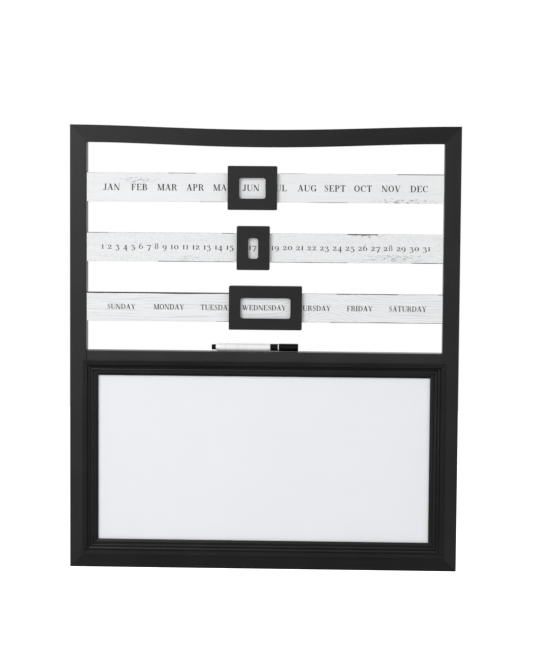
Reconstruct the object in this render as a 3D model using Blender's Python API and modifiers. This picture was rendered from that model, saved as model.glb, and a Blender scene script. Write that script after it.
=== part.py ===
"""A wall memo board: a black wooden frame with three printed slats, a window that
slides along each slat, and a dry-erase panel whose marker lies on the middle rail.

Metres, +Z up. The front faces -Y and the wall is the plane y = 0. The origin is the
middle of the middle rail's back face.
"""

import math

import bmesh
import bpy
from mathutils import Matrix, Vector

# Frame
FRAME_WIDTH = 0.610
FRAME_DEPTH = 0.0254
FACE_WIDTH = 0.026
TOP_FACE_WIDTH = 0.0272
TOP_RAIL_BOW = 0.0066
MIDDLE_RAIL_HEIGHT = 0.021
PANEL_OPENING_HEIGHT = 0.297
ARRIS = 0.0012

# Slats: the end gap is the one to the ledge and to the top rail
SLAT_HEIGHT = 0.0452
SLAT_GAP = 0.0483
END_GAP = 0.047
SLAT_THICKNESS = 0.009
SLAT_SETBACK = 0.001
SLAT_ARRIS = 0.0008
TENON_LENGTH = 0.008
TENON_THICKNESS = 0.005
TENON_SHOULDER = 0.006

# Sliders: the height and the borders are shared, and each window has its own width and
# sits a little below the slider's middle
SLIDER_HEIGHT = 0.0686
SLIDER_WEB = 0.0055
SLIDER_SIDE_BORDER = 0.018
SLIDER_CORNER = 0.002
SLIDER_ARRIS = 0.0009
WINDOW_HEIGHT = 0.032
WINDOW_DROP = 0.0005
WINDOW_CORNER = 0.0035
BACK_THICKNESS = 0.003
WINDOW_WIDTHS = {"month": 0.0410, "date": 0.0154, "weekday": 0.0782}
SLIDER_PLACES = {"month": -0.0195, "date": -0.0177, "weekday": 0.0020}
SLIDER_SCREW_INSET = 0.012
ONE_SCREW_WIDTH = 0.060

# Moulding round the dry-erase panel: widths run inwards from its outer edge, and
# heights are measured from the frame's front face
MOULDING_WIDTH = 0.0235
MOULDING_LAP = 0.0053
MOULDING_BACK = -0.008
LAP_RISE = 0.002
STEP_WIDTH = 0.0033
STEP_DROP = 0.0005
STEP_SLOPE = 0.0002
COVE_WIDTH = 0.005
COVE_DEPTH = 0.0046
BEAD_WIDTH = 0.005
BEAD_HEIGHT = 0.0024
QUIRK_WIDTH = 0.0006
QUIRK_DEPTH = 0.0008
FILLET_WIDTH = 0.0026
FILLET_DROP = 0.0003
LIP_STEP = 0.001
LIP_SLOPE = 0.0007

# Dry-erase panel and the flex points that hold it
PANEL_THICKNESS = 0.003
PANEL_CLEARANCE = 0.001
FLEX_LENGTH = 0.016
FLEX_WIDTH = 0.008
FLEX_THICKNESS = 0.0006
FLEX_IN_WOOD = 0.007

# Fastenings inside the frame
DOWEL_RADIUS = 0.004
DOWEL_LENGTH = 0.030
DOWEL_SPACING = 0.0115
V_NAIL_HALF_WIDTH = 0.0045
V_NAIL_RISE = 0.0045
V_NAIL_THICKNESS = 0.0011
V_NAIL_DEPTH = 0.010
SCREW_HEAD_RADIUS = 0.0027
SCREW_HEAD_HEIGHT = 0.0016
SCREW_SHANK_RADIUS = 0.0014
SCREW_LENGTH = 0.012

# Keyhole hangers
HANGER_WIDTH = 0.016
HANGER_LENGTH = 0.044
HANGER_THICKNESS = 0.0018
HANGER_DROP = 0.024
HANGER_SCREW_SPACING = 0.034
KEYHOLE_RADIUS = 0.0045
KEYHOLE_SLOT = 0.0044
KEYHOLE_RISE = 0.0085
POCKET_MARGIN = 0.0015
POCKET_DEPTH = 0.009

# Marker: lengths along it, from its end plug to its cap
MARKER_MIDDLE = -0.0144
MARKER_SETBACK = 0.0125
PLUG_LENGTH = 0.0063
PLUG_RADIUS = 0.0043
PLUG_SPIGOT = 0.005
BARREL_LENGTH = 0.0857
BARREL_RADIUS = 0.006
BARREL_WALL = 0.0014
BARREL_NOSE = 0.0048
BARREL_SHOULDER = 0.005
COLLAR_LENGTH = 0.0137
COLLAR_RADIUS = 0.0057
COLLAR_SPIGOT = 0.006
NECK_LENGTH = 0.010
NECK_RADIUS = 0.0044
NIB_RADIUS = 0.0022
NIB_OUT = 0.0055
CAP_LENGTH = 0.0304
CAP_RADIUS = 0.0062
CAP_WALL = 0.0013
CAP_END = 0.003
CAP_ROUNDING = 0.0008

# Clearances
JOINT_GAP = 0.0003
SLIDE_CLEARANCE = 0.0005
SLIDER_HANG = 0.0003
SLIDER_UNDER = 0.0009
PANEL_SEAT = 0.0003
FIT_CLEARANCE = 0.00025
NIB_CLEARANCE = 0.0002

# Round shapes
TURNED_STEPS = 20
SCREW_STEPS = 10
CORNER_STEPS = 5
BOW_STEPS = 20
COVE_STEPS = 6
BEAD_STEPS = 8
SHARP_ANGLE = math.radians(35)
FINE_STEPS = 2

# Colours, roughness and metallic value of each finish
BLACK_PAINT = ((0.028, 0.028, 0.031), 0.42, 0.0)
SLAT_WHITE = ((0.80, 0.80, 0.81), 0.55, 0.0)
BOARD_WHITE = ((0.75, 0.76, 0.78), 0.18, 0.0)
BLACK_PLASTIC = ((0.012, 0.012, 0.013), 0.30, 0.0)
WHITE_PLASTIC = ((0.86, 0.86, 0.86), 0.28, 0.0)
FELT = ((0.03, 0.03, 0.035), 0.95, 0.0)
INK_FIBRE = ((0.20, 0.19, 0.18), 0.95, 0.0)
BEECH = ((0.55, 0.38, 0.22), 0.65, 0.0)
ZINC = ((0.55, 0.55, 0.54), 0.35, 1.0)
HARDBOARD_BLACK = ((0.035, 0.034, 0.034), 0.65, 0.0)

# Places that the sizes above give
HALF_WIDTH = FRAME_WIDTH / 2
HALF_OPENING = HALF_WIDTH - FACE_WIDTH
SLATS = ("month", "date", "weekday")
LEDGE = MIDDLE_RAIL_HEIGHT / 2
SLAT_PITCH = SLAT_HEIGHT + SLAT_GAP
CALENDAR_TOP = LEDGE + 2 * END_GAP + SLAT_HEIGHT + (len(SLATS) - 1) * SLAT_PITCH
FRAME_TOP = CALENDAR_TOP + TOP_FACE_WIDTH
PANEL_TOP = -MIDDLE_RAIL_HEIGHT / 2
PANEL_BOTTOM = PANEL_TOP - PANEL_OPENING_HEIGHT
FRAME_BOTTOM = PANEL_BOTTOM - FACE_WIDTH
PANEL_MIDDLE = (PANEL_TOP + PANEL_BOTTOM) / 2
FRONT = -FRAME_DEPTH
SLAT_FRONT = FRONT + SLAT_SETBACK
SLAT_BACK = SLAT_FRONT + SLAT_THICKNESS
SLAT_MIDDLE = (SLAT_FRONT + SLAT_BACK) / 2
PANEL_FRONT = FRONT - MOULDING_BACK + PANEL_SEAT
PANEL_BACK = PANEL_FRONT + PANEL_THICKNESS
MITRE_GAP = JOINT_GAP / math.sqrt(2)
MARKER_LENGTH = PLUG_LENGTH + BARREL_LENGTH + COLLAR_LENGTH + CAP_LENGTH
MARKER_START = MARKER_MIDDLE - MARKER_LENGTH / 2
MARKER_AXIS = Vector((MARKER_START, FRONT + MARKER_SETBACK, LEDGE + JOINT_GAP + CAP_RADIUS))
UPRIGHT = Matrix.Rotation(math.radians(90), 4, "X")
ALONG_X = Matrix.Rotation(math.radians(90), 4, "Y")
SCREW_FROM_BACK = Matrix.Rotation(math.radians(-90), 4, "X")


def clear_scene():
    for obj in list(bpy.data.objects):
        bpy.data.objects.remove(obj)


def new_collection(name):
    collection = bpy.data.collections.new(name)
    bpy.context.scene.collection.children.link(collection)
    return collection


clear_scene()
PARTS = new_collection("memo_board")
CUTTERS = new_collection("cutters")


def add_part(name, mesh, finish, place=Matrix.Identity(4)):
    """Links a mesh as one named piece, with a material of its own."""
    colour, roughness, metallic = finish
    material = bpy.data.materials.new(name)
    material.use_nodes = True
    shader = material.node_tree.nodes["Principled BSDF"]
    shader.inputs["Base Color"].default_value = (*colour, 1)
    shader.inputs["Roughness"].default_value = roughness
    shader.inputs["Metallic"].default_value = metallic
    mesh.name = name
    mesh.shade_smooth()
    mesh.set_sharp_from_angle(angle=SHARP_ANGLE)
    mesh.materials.clear()
    mesh.materials.append(material)
    part = bpy.data.objects.new(name, mesh)
    part.matrix_world = place
    PARTS.objects.link(part)
    return part


def add_cutter(mesh, place=Matrix.Identity(4)):
    cutter = bpy.data.objects.new("cutter", mesh)
    cutter.matrix_world = place
    cutter.hide_render = True
    cutter.display_type = "WIRE"
    CUTTERS.objects.link(cutter)
    return cutter


def add_boolean(part, other, operation="DIFFERENCE"):
    boolean = part.modifiers.new(other.name, "BOOLEAN")
    boolean.operation = operation
    boolean.object = other


def ease_edges(part, width, segments=2):
    """Rounds the sharp edges and leaves the small angles of round stretches."""
    bevel = part.modifiers.new("eased_edges", "BEVEL")
    bevel.width = width
    bevel.segments = segments
    bevel.limit_method = "ANGLE"
    bevel.angle_limit = math.radians(50)
    bevel.harden_normals = True


def ease_long_edges(part, width, segments=2):
    """Rounds the arrises along an outline's rail or stile, and leaves its mitred ends sharp."""
    shape = bmesh.new()
    shape.from_mesh(part.data)
    weights = shape.edges.layers.float.new("bevel_weight_edge")
    for edge in shape.edges:
        run = edge.verts[1].co - edge.verts[0].co
        length = run.length
        mitred = abs(abs(run.x) - abs(run.y)) < 0.1 * length
        through = abs(run.z) > 0.5 * length
        sharp = edge.calc_face_angle() > math.radians(50)
        edge[weights] = 1.0 if sharp and not mitred and not through else 0.0
    shape.to_mesh(part.data)
    shape.free()
    bevel = part.modifiers.new("eased_edges", "BEVEL")
    bevel.width = width
    bevel.segments = segments
    bevel.limit_method = "WEIGHT"
    bevel.harden_normals = True


def box_mesh(low, high):
    shape = bmesh.new()
    bmesh.ops.create_cube(shape, size=1)
    size = Vector(high) - Vector(low)
    middle = (Vector(high) + Vector(low)) / 2
    bmesh.ops.transform(shape, matrix=Matrix.Diagonal((*size, 1)), verts=shape.verts)
    bmesh.ops.translate(shape, vec=middle, verts=shape.verts)
    mesh = bpy.data.meshes.new("box")
    shape.to_mesh(mesh)
    shape.free()
    return mesh


def outline_mesh(outlines, thickness):
    """A flat shape in the local XY plane. The first outline is its edge, the rest are holes."""
    curve = bpy.data.curves.new("outline", "CURVE")
    curve.dimensions = "2D"
    curve.fill_mode = "BOTH"
    curve.extrude = thickness / 2
    for outline in outlines:
        spline = curve.splines.new("POLY")
        spline.points.add(len(outline) - 1)
        for point, (x, y) in zip(spline.points, outline):
            point.co = (x, y, 0, 1)
        spline.use_cyclic_u = True
    holder = bpy.data.objects.new("outline", curve)
    PARTS.objects.link(holder)
    graph = bpy.context.evaluated_depsgraph_get()
    mesh = bpy.data.meshes.new_from_object(holder.evaluated_get(graph))
    bpy.data.objects.remove(holder)
    bpy.data.curves.remove(curve)
    shape = bmesh.new()
    shape.from_mesh(mesh)
    bmesh.ops.remove_doubles(shape, verts=shape.verts, dist=0.00001)
    bmesh.ops.recalc_face_normals(shape, faces=shape.faces)
    shape.to_mesh(mesh)
    shape.free()
    return mesh


def standing(y, x=0.0, z=0.0):
    """Puts a flat outline upright, facing the viewer, with its middle layer at y."""
    return Matrix.Translation((x, y, z)) @ UPRIGHT


def rounded_rectangle(width, height, radius):
    """Corner arcs of one radius, counter-clockwise, round the middle of the outline."""
    points = []
    for quarter in range(4):
        turn = math.radians(90 * quarter)
        right = 1 if quarter in (0, 3) else -1
        up = 1 if quarter in (0, 1) else -1
        for step in range(CORNER_STEPS + 1):
            angle = turn + math.radians(90) * step / CORNER_STEPS
            x = right * (width / 2 - radius) + radius * math.cos(angle)
            y = up * (height / 2 - radius) + radius * math.sin(angle)
            points.append((x, y))
    return points


def turned(name, profile, finish, place, closed=False):
    """Turns (radius, height) points, listed down the outer side, round the local Z axis."""
    return add_part(name, turned_mesh(profile, TURNED_STEPS, closed), finish, place)


def turned_mesh(profile, steps, closed=False):
    shape = bmesh.new()
    points = [shape.verts.new((radius, 0, height)) for radius, height in profile]
    for first, second in zip(points, points[1:]):
        shape.edges.new((first, second))
    if closed:
        shape.edges.new((points[-1], points[0]))
    mesh = bpy.data.meshes.new("profile")
    shape.to_mesh(mesh)
    shape.free()
    holder = bpy.data.objects.new("profile", mesh)
    PARTS.objects.link(holder)
    screw = holder.modifiers.new("turned", "SCREW")
    screw.axis = "Z"
    screw.steps = steps
    screw.render_steps = steps
    screw.use_merge_vertices = True
    screw.merge_threshold = 0.00001
    graph = bpy.context.evaluated_depsgraph_get()
    turned_round = bpy.data.meshes.new_from_object(holder.evaluated_get(graph))
    bpy.data.objects.remove(holder)
    bpy.data.meshes.remove(mesh)
    return turned_round


def rod_mesh(radius, length, steps=16):
    """A cylinder along local Z, with its middle at the origin."""
    shape = bmesh.new()
    bmesh.ops.create_cone(
        shape, cap_ends=True, segments=steps, radius1=radius, radius2=radius, depth=length
    )
    mesh = bpy.data.meshes.new("rod")
    shape.to_mesh(mesh)
    shape.free()
    return mesh


def slat_middle(order):
    """The height of a slat's centre line. The first slat is the top one."""
    below = len(SLATS) - 1 - order
    return LEDGE + END_GAP + SLAT_HEIGHT / 2 + below * SLAT_PITCH


def bowed_edge(half_length, end_height, bow):
    """Points from the right end to the left end of a shallow curve that leaves its ends level
    and sags by the bow."""
    points = []
    for step in range(BOW_STEPS + 1):
        share = 1 - 2 * step / BOW_STEPS
        points.append((share * half_length, end_height - bow * (1 - share * share) ** 2))
    return points


def add_stile(name, side):
    """A full-height upright, mitred at both ends. Side is -1 on the left and 1 on the right."""
    outline = [
        (side * HALF_WIDTH, FRAME_BOTTOM + MITRE_GAP),
        (side * HALF_OPENING, PANEL_BOTTOM + MITRE_GAP),
        (side * HALF_OPENING, CALENDAR_TOP - MITRE_GAP),
        (side * HALF_WIDTH, FRAME_TOP - MITRE_GAP),
    ]
    mesh = outline_mesh([outline], FRAME_DEPTH)
    stile = add_part(name, mesh, BLACK_PAINT, standing(FRONT / 2))
    ease_long_edges(stile, ARRIS)
    return stile


def add_top_rail():
    outer = bowed_edge(HALF_WIDTH - MITRE_GAP, FRAME_TOP, TOP_RAIL_BOW)
    inner = bowed_edge(HALF_OPENING - MITRE_GAP, CALENDAR_TOP, TOP_RAIL_BOW)
    mesh = outline_mesh([outer + inner[::-1]], FRAME_DEPTH)
    rail = add_part("top_rail", mesh, BLACK_PAINT, standing(FRONT / 2))
    ease_long_edges(rail, ARRIS)
    return rail


def add_bottom_rail():
    outline = [
        (-HALF_WIDTH + MITRE_GAP, FRAME_BOTTOM),
        (HALF_WIDTH - MITRE_GAP, FRAME_BOTTOM),
        (HALF_OPENING - MITRE_GAP, PANEL_BOTTOM),
        (-HALF_OPENING + MITRE_GAP, PANEL_BOTTOM),
    ]
    mesh = outline_mesh([outline], FRAME_DEPTH)
    rail = add_part("bottom_rail", mesh, BLACK_PAINT, standing(FRONT / 2))
    ease_long_edges(rail, ARRIS)
    return rail


def add_middle_rail():
    end = HALF_OPENING - JOINT_GAP
    mesh = box_mesh((-end, FRONT, PANEL_TOP), (end, 0, LEDGE))
    rail = add_part("middle_rail", mesh, BLACK_PAINT)
    ease_edges(rail, ARRIS)
    return rail


def add_dowels(rail, stiles):
    """Two dowels at each end of the middle rail, half in the rail and half in the stile."""
    for side, stile in stiles.items():
        for row in (-1, 1):
            x = side * (HALF_OPENING - JOINT_GAP / 2)
            y = FRONT / 2 + row * DOWEL_SPACING / 2
            spot = Matrix.Translation((x, y, 0)) @ ALONG_X
            where = ("left" if side < 0 else "right") + ("_front" if row < 0 else "_back")
            dowel = add_part(f"dowel_{where}", rod_mesh(DOWEL_RADIUS, DOWEL_LENGTH), BEECH, spot)
            ease_edges(dowel, FIT_CLEARANCE * 2, 1)
            hole = rod_mesh(DOWEL_RADIUS + FIT_CLEARANCE, DOWEL_LENGTH + 2 * FIT_CLEARANCE)
            cutter = add_cutter(hole, spot)
            add_boolean(rail, cutter)
            add_boolean(stile, cutter)


def v_nail_outline(grow):
    """A shallow V across the mitre. Its bisector is the local Y axis."""
    wide = V_NAIL_HALF_WIDTH + grow
    low = -V_NAIL_RISE / 2 - grow * math.sqrt(2)
    high = low + V_NAIL_THICKNESS + 2 * grow * math.sqrt(2)
    rise = V_NAIL_RISE * wide / V_NAIL_HALF_WIDTH
    under = [(-wide, low + rise), (0, low), (wide, low + rise)]
    over = [(wide, high + rise), (0, high), (-wide, high + rise)]
    return under + over


def add_v_nail(name, corner_x, corner_z, members):
    """Driven from the back across one mitred corner, with its V along the mitre."""
    inset = FACE_WIDTH / 2
    x = corner_x - math.copysign(inset, corner_x)
    z = corner_z - math.copysign(inset, corner_z)
    turn = math.atan2(corner_z - z, corner_x - x) - math.radians(90)
    spin = Matrix.Rotation(turn, 4, "Z")
    depth = V_NAIL_DEPTH
    nail_mesh = outline_mesh([v_nail_outline(0)], depth)
    add_part(name, nail_mesh, ZINC, standing(-depth / 2 - JOINT_GAP, x, z) @ spin)
    slot_mesh = outline_mesh([v_nail_outline(FIT_CLEARANCE)], depth + 4 * JOINT_GAP)
    cutter = add_cutter(slot_mesh, standing(-depth / 2, x, z) @ spin)
    for member in members:
        add_boolean(member, cutter)


def screw_profile(grow=0.0):
    """A countersunk wood screw from its head down to its tip. Its hole stands proud by the growth."""
    tip = 2 * SCREW_SHANK_RADIUS
    rim = [(0, grow), (SCREW_HEAD_RADIUS + grow, grow)] if grow else [(0, 0)]
    return rim + [
        (SCREW_HEAD_RADIUS + grow, 0),
        (SCREW_SHANK_RADIUS + grow, -SCREW_HEAD_HEIGHT),
        (SCREW_SHANK_RADIUS + grow, tip - SCREW_LENGTH),
        (0, -SCREW_LENGTH - grow),
    ]


def add_screw(name, place, members):
    """A screw driven from the back into its members, with its head flush at the place."""
    spot = Matrix.Translation(place) @ SCREW_FROM_BACK
    add_part(name, turned_mesh(screw_profile(), SCREW_STEPS), ZINC, spot)
    cutter = add_cutter(turned_mesh(screw_profile(FIT_CLEARANCE), SCREW_STEPS), spot)
    for member in members:
        add_boolean(member, cutter)


def add_slat(word, order, stiles):
    """A thin board with a stub tenon at each end, seated in a mortise of the stile."""
    middle = slat_middle(order)
    end = HALF_OPENING - JOINT_GAP
    low = (-end, SLAT_FRONT, middle - SLAT_HEIGHT / 2)
    high = (end, SLAT_BACK, middle + SLAT_HEIGHT / 2)
    slat = add_part(f"{word}_slat", box_mesh(low, high), SLAT_WHITE)
    ease_edges(slat, SLAT_ARRIS, 2)
    tenon_end = HALF_OPENING + TENON_LENGTH
    tenon_height = SLAT_HEIGHT / 2 - TENON_SHOULDER
    tenon_low = (-tenon_end, SLAT_MIDDLE - TENON_THICKNESS / 2, middle - tenon_height)
    tenon_high = (tenon_end, SLAT_MIDDLE + TENON_THICKNESS / 2, middle + tenon_height)
    add_boolean(slat, add_cutter(box_mesh(tenon_low, tenon_high)), "UNION")
    room = Vector((JOINT_GAP, JOINT_GAP, JOINT_GAP))
    mortise = box_mesh(Vector(tenon_low) - room, Vector(tenon_high) + room)
    cutter = add_cutter(mortise)
    for stile in stiles.values():
        add_boolean(stile, cutter)


def add_slider(word, order):
    """A window that hangs on its slat: a channelled front, a back plate and its screws."""
    window = WINDOW_WIDTHS[word]
    width = window + 2 * SLIDER_SIDE_BORDER
    x = SLIDER_PLACES[word]
    slat_top = slat_middle(order) + SLAT_HEIGHT / 2
    channel_top = slat_top + SLIDER_HANG
    channel_bottom = slat_top - SLAT_HEIGHT - SLIDER_UNDER
    z = (channel_top + channel_bottom) / 2
    web_back = SLAT_FRONT - SLIDE_CLEARANCE
    front_face = web_back - SLIDER_WEB
    front_back = SLAT_BACK + SLIDE_CLEARANCE
    depth = front_back - front_face
    outline = rounded_rectangle(width, SLIDER_HEIGHT, SLIDER_CORNER)
    hole = [(px, pz - WINDOW_DROP) for px, pz in rounded_rectangle(window, WINDOW_HEIGHT, WINDOW_CORNER)]
    place = standing(front_face + depth / 2, x, z)
    front = add_part(f"{word}_slider_front", outline_mesh([outline, hole], depth), BLACK_PAINT, place)
    ease_edges(front, SLIDER_ARRIS, 2)
    reach = width / 2 + FACE_WIDTH
    channel_low = (x - reach, web_back, channel_bottom)
    channel_high = (x + reach, front_back + SLIDER_WEB, channel_top)
    add_boolean(front, add_cutter(box_mesh(channel_low, channel_high)))
    back_start = front_back + JOINT_GAP
    plate_place = standing(back_start + BACK_THICKNESS / 2, x, z)
    plate_mesh = outline_mesh([outline], BACK_THICKNESS)
    plate = add_part(f"{word}_slider_back", plate_mesh, HARDBOARD_BLACK, plate_place)
    bar_height = (SLIDER_HEIGHT - (channel_top - channel_bottom)) / 2
    screw_rise = SLIDER_HEIGHT / 2 - bar_height / 2
    count = 1 if width < ONE_SCREW_WIDTH else 2
    spread = width - 2 * SLIDER_SCREW_INSET
    for up, level in ((1, "top"), (-1, "bottom")):
        for index in range(count):
            across = 0 if count == 1 else spread * (index - 0.5)
            place = (x + across, back_start + BACK_THICKNESS, z + up * screw_rise)
            add_screw(f"{word}_slider_screw_{level}_{index + 1}", place, [plate, front])


def moulding_outline():
    """The moulding's section: two fine steps, a cove, a bead, a quirk, a fillet and a lip."""
    points = [(0.0, JOINT_GAP)]
    height = LAP_RISE
    across = 0.0
    for _ in range(FINE_STEPS):
        points.append((across, height))
        across += STEP_WIDTH
        height -= STEP_SLOPE
        points.append((across, height))
        height -= STEP_DROP
    cove_top = points[-1][1]
    for step in range(1, COVE_STEPS + 1):
        angle = math.radians(90) * step / COVE_STEPS
        run = COVE_WIDTH * (1 - math.cos(angle))
        points.append((across + run, cove_top - COVE_DEPTH * math.sin(angle)))
    across += COVE_WIDTH
    bead_foot = cove_top - COVE_DEPTH
    for step in range(1, BEAD_STEPS + 1):
        angle = math.radians(180) * step / BEAD_STEPS
        run = BEAD_WIDTH * (1 - math.cos(angle)) / 2
        points.append((across + run, bead_foot + BEAD_HEIGHT * math.sin(angle)))
    across += BEAD_WIDTH
    points.append((across, bead_foot - QUIRK_DEPTH))
    across += QUIRK_WIDTH
    fillet = bead_foot - FILLET_DROP
    points.append((across, bead_foot - QUIRK_DEPTH))
    points.append((across, fillet))
    across += FILLET_WIDTH
    lip = fillet - LIP_STEP
    points.append((across, fillet))
    points.append((across, lip))
    points.append((MOULDING_WIDTH, lip - LIP_SLOPE))
    points.append((MOULDING_WIDTH, MOULDING_BACK))
    points.append((MOULDING_LAP + JOINT_GAP, MOULDING_BACK))
    points.append((MOULDING_LAP + JOINT_GAP, JOINT_GAP))
    return points


def add_moulding(name, inward, edge_middle, edge_length):
    """One length of moulding, cut at 45 degrees at both ends."""
    front = Vector((0, -1, 0))
    along = inward.cross(front)
    turn = Matrix((inward, front, along)).transposed().to_4x4()
    mesh = outline_mesh([moulding_outline()], edge_length)
    shape = bmesh.new()
    shape.from_mesh(mesh)
    bmesh.ops.transform(shape, matrix=Matrix.Translation(edge_middle) @ turn, verts=shape.verts)
    for direction in (along, -along):
        normal = (direction + inward).normalized()
        corner = edge_middle + direction * edge_length / 2 - normal * JOINT_GAP / 2
        geometry = list(shape.verts) + list(shape.edges) + list(shape.faces)
        bmesh.ops.bisect_plane(
            shape, geom=geometry, dist=0.000001, plane_co=corner, plane_no=normal, clear_outer=True
        )
        rim = [edge for edge in shape.edges if edge.is_boundary]
        bmesh.ops.holes_fill(shape, edges=rim, sides=0)
    bmesh.ops.recalc_face_normals(shape, faces=shape.faces)
    shape.to_mesh(mesh)
    shape.free()
    return add_part(name, mesh, BLACK_PAINT)


def add_mouldings():
    half_across = HALF_OPENING + MOULDING_LAP
    half_up = PANEL_OPENING_HEIGHT / 2 + MOULDING_LAP
    sides = {
        "moulding_left": Vector((1, 0, 0)),
        "moulding_right": Vector((-1, 0, 0)),
        "moulding_top": Vector((0, 0, -1)),
        "moulding_bottom": Vector((0, 0, 1)),
    }
    centre = Vector((0, FRONT, PANEL_MIDDLE))
    for name, inward in sides.items():
        upright = inward.z == 0
        offset = half_across if upright else half_up
        length = 2 * (half_up if upright else half_across)
        add_moulding(name, inward, centre - inward * offset, length)


def add_panel():
    half_across = HALF_OPENING - PANEL_CLEARANCE
    low = (-half_across, PANEL_FRONT, PANEL_BOTTOM + PANEL_CLEARANCE)
    high = (half_across, PANEL_BACK, PANEL_TOP - PANEL_CLEARANCE)
    return add_part("dry_erase_panel", box_mesh(low, high), BOARD_WHITE)


def flex_outline(grow=0.0):
    """A flat point whose tip, at negative Y, is driven into the wood."""
    half = FLEX_WIDTH / 2 + grow
    tip = -FLEX_IN_WOOD - grow
    blunt = half / 3
    over_panel = FLEX_LENGTH - FLEX_IN_WOOD
    return [(half, over_panel), (-half, over_panel), (-half, 0), (-blunt, tip), (blunt, tip), (half, 0)]


def add_flex_points(members):
    """Two flex points on each side of the opening hold the panel against the moulding."""
    y = PANEL_BACK + JOINT_GAP + FLEX_THICKNESS / 2
    third_across = HALF_OPENING / 2
    third_up = PANEL_OPENING_HEIGHT / 4
    spots = {
        "left": (-90, lambda run: (-HALF_OPENING, PANEL_MIDDLE + run * third_up)),
        "right": (90, lambda run: (HALF_OPENING, PANEL_MIDDLE + run * third_up)),
        "top": (180, lambda run: (run * third_across, PANEL_TOP)),
        "bottom": (0, lambda run: (run * third_across, PANEL_BOTTOM)),
    }
    for side, (turn, spot) in spots.items():
        for number, run in ((1, -1), (2, 1)):
            x, z = spot(run)
            place = standing(y, x, z) @ Matrix.Rotation(math.radians(turn), 4, "Z")
            point = outline_mesh([flex_outline()], FLEX_THICKNESS)
            add_part(f"flex_point_{side}_{number}", point, ZINC, place)
            slot = outline_mesh([flex_outline(FIT_CLEARANCE)], FLEX_THICKNESS + 2 * FIT_CLEARANCE)
            add_boolean(members[side], add_cutter(slot, place))


def keyhole_outline(grow=0.0):
    """A round hole with a slot above it, counter-clockwise from the slot's right foot."""
    radius = KEYHOLE_RADIUS + grow
    half_slot = KEYHOLE_SLOT / 2 + grow
    start = math.acos(half_slot / radius)
    points = []
    turn = math.radians(360) - (math.radians(180) - 2 * start)
    steps = 3 * CORNER_STEPS
    for step in range(steps + 1):
        angle = math.radians(180) - start + turn * step / steps
        points.append((radius * math.cos(angle), radius * math.sin(angle)))
    for step in range(CORNER_STEPS + 2):
        angle = math.radians(180) * step / (CORNER_STEPS + 1)
        points.append((half_slot * math.cos(angle), KEYHOLE_RISE + half_slot * math.sin(angle)))
    return points


def add_hanger(name, side, stile):
    """A keyhole plate let into the stile's back, over a pocket for the wall screw's head."""
    x = side * (HALF_OPENING + FACE_WIDTH / 2)
    z = CALENDAR_TOP - HANGER_DROP
    outline = rounded_rectangle(HANGER_WIDTH, HANGER_LENGTH, HANGER_WIDTH / 2 - JOINT_GAP)
    keyhole = [(u, v - KEYHOLE_RISE / 2) for u, v in keyhole_outline()]
    mesh = outline_mesh([outline, keyhole], HANGER_THICKNESS)
    plate = add_part(name, mesh, ZINC, standing(-HANGER_THICKNESS / 2, x, z))
    room = 2 * FIT_CLEARANCE
    recess = rounded_rectangle(HANGER_WIDTH + room, HANGER_LENGTH + room, HANGER_WIDTH / 2)
    recess_depth = HANGER_THICKNESS + JOINT_GAP
    recess_cutter = outline_mesh([recess], 2 * recess_depth)
    add_boolean(stile, add_cutter(recess_cutter, standing(0, x, z)))
    pocket_width = 2 * (KEYHOLE_RADIUS + POCKET_MARGIN)
    pocket = rounded_rectangle(pocket_width, pocket_width + KEYHOLE_RISE, pocket_width / 2 - JOINT_GAP)
    add_boolean(stile, add_cutter(outline_mesh([pocket], 2 * POCKET_DEPTH), standing(0, x, z)))
    for up, level in ((1, "top"), (-1, "bottom")):
        place = (x, 0, z + up * HANGER_SCREW_SPACING / 2)
        add_screw(f"{name}_screw_{level}", place, [plate, stile])


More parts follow.
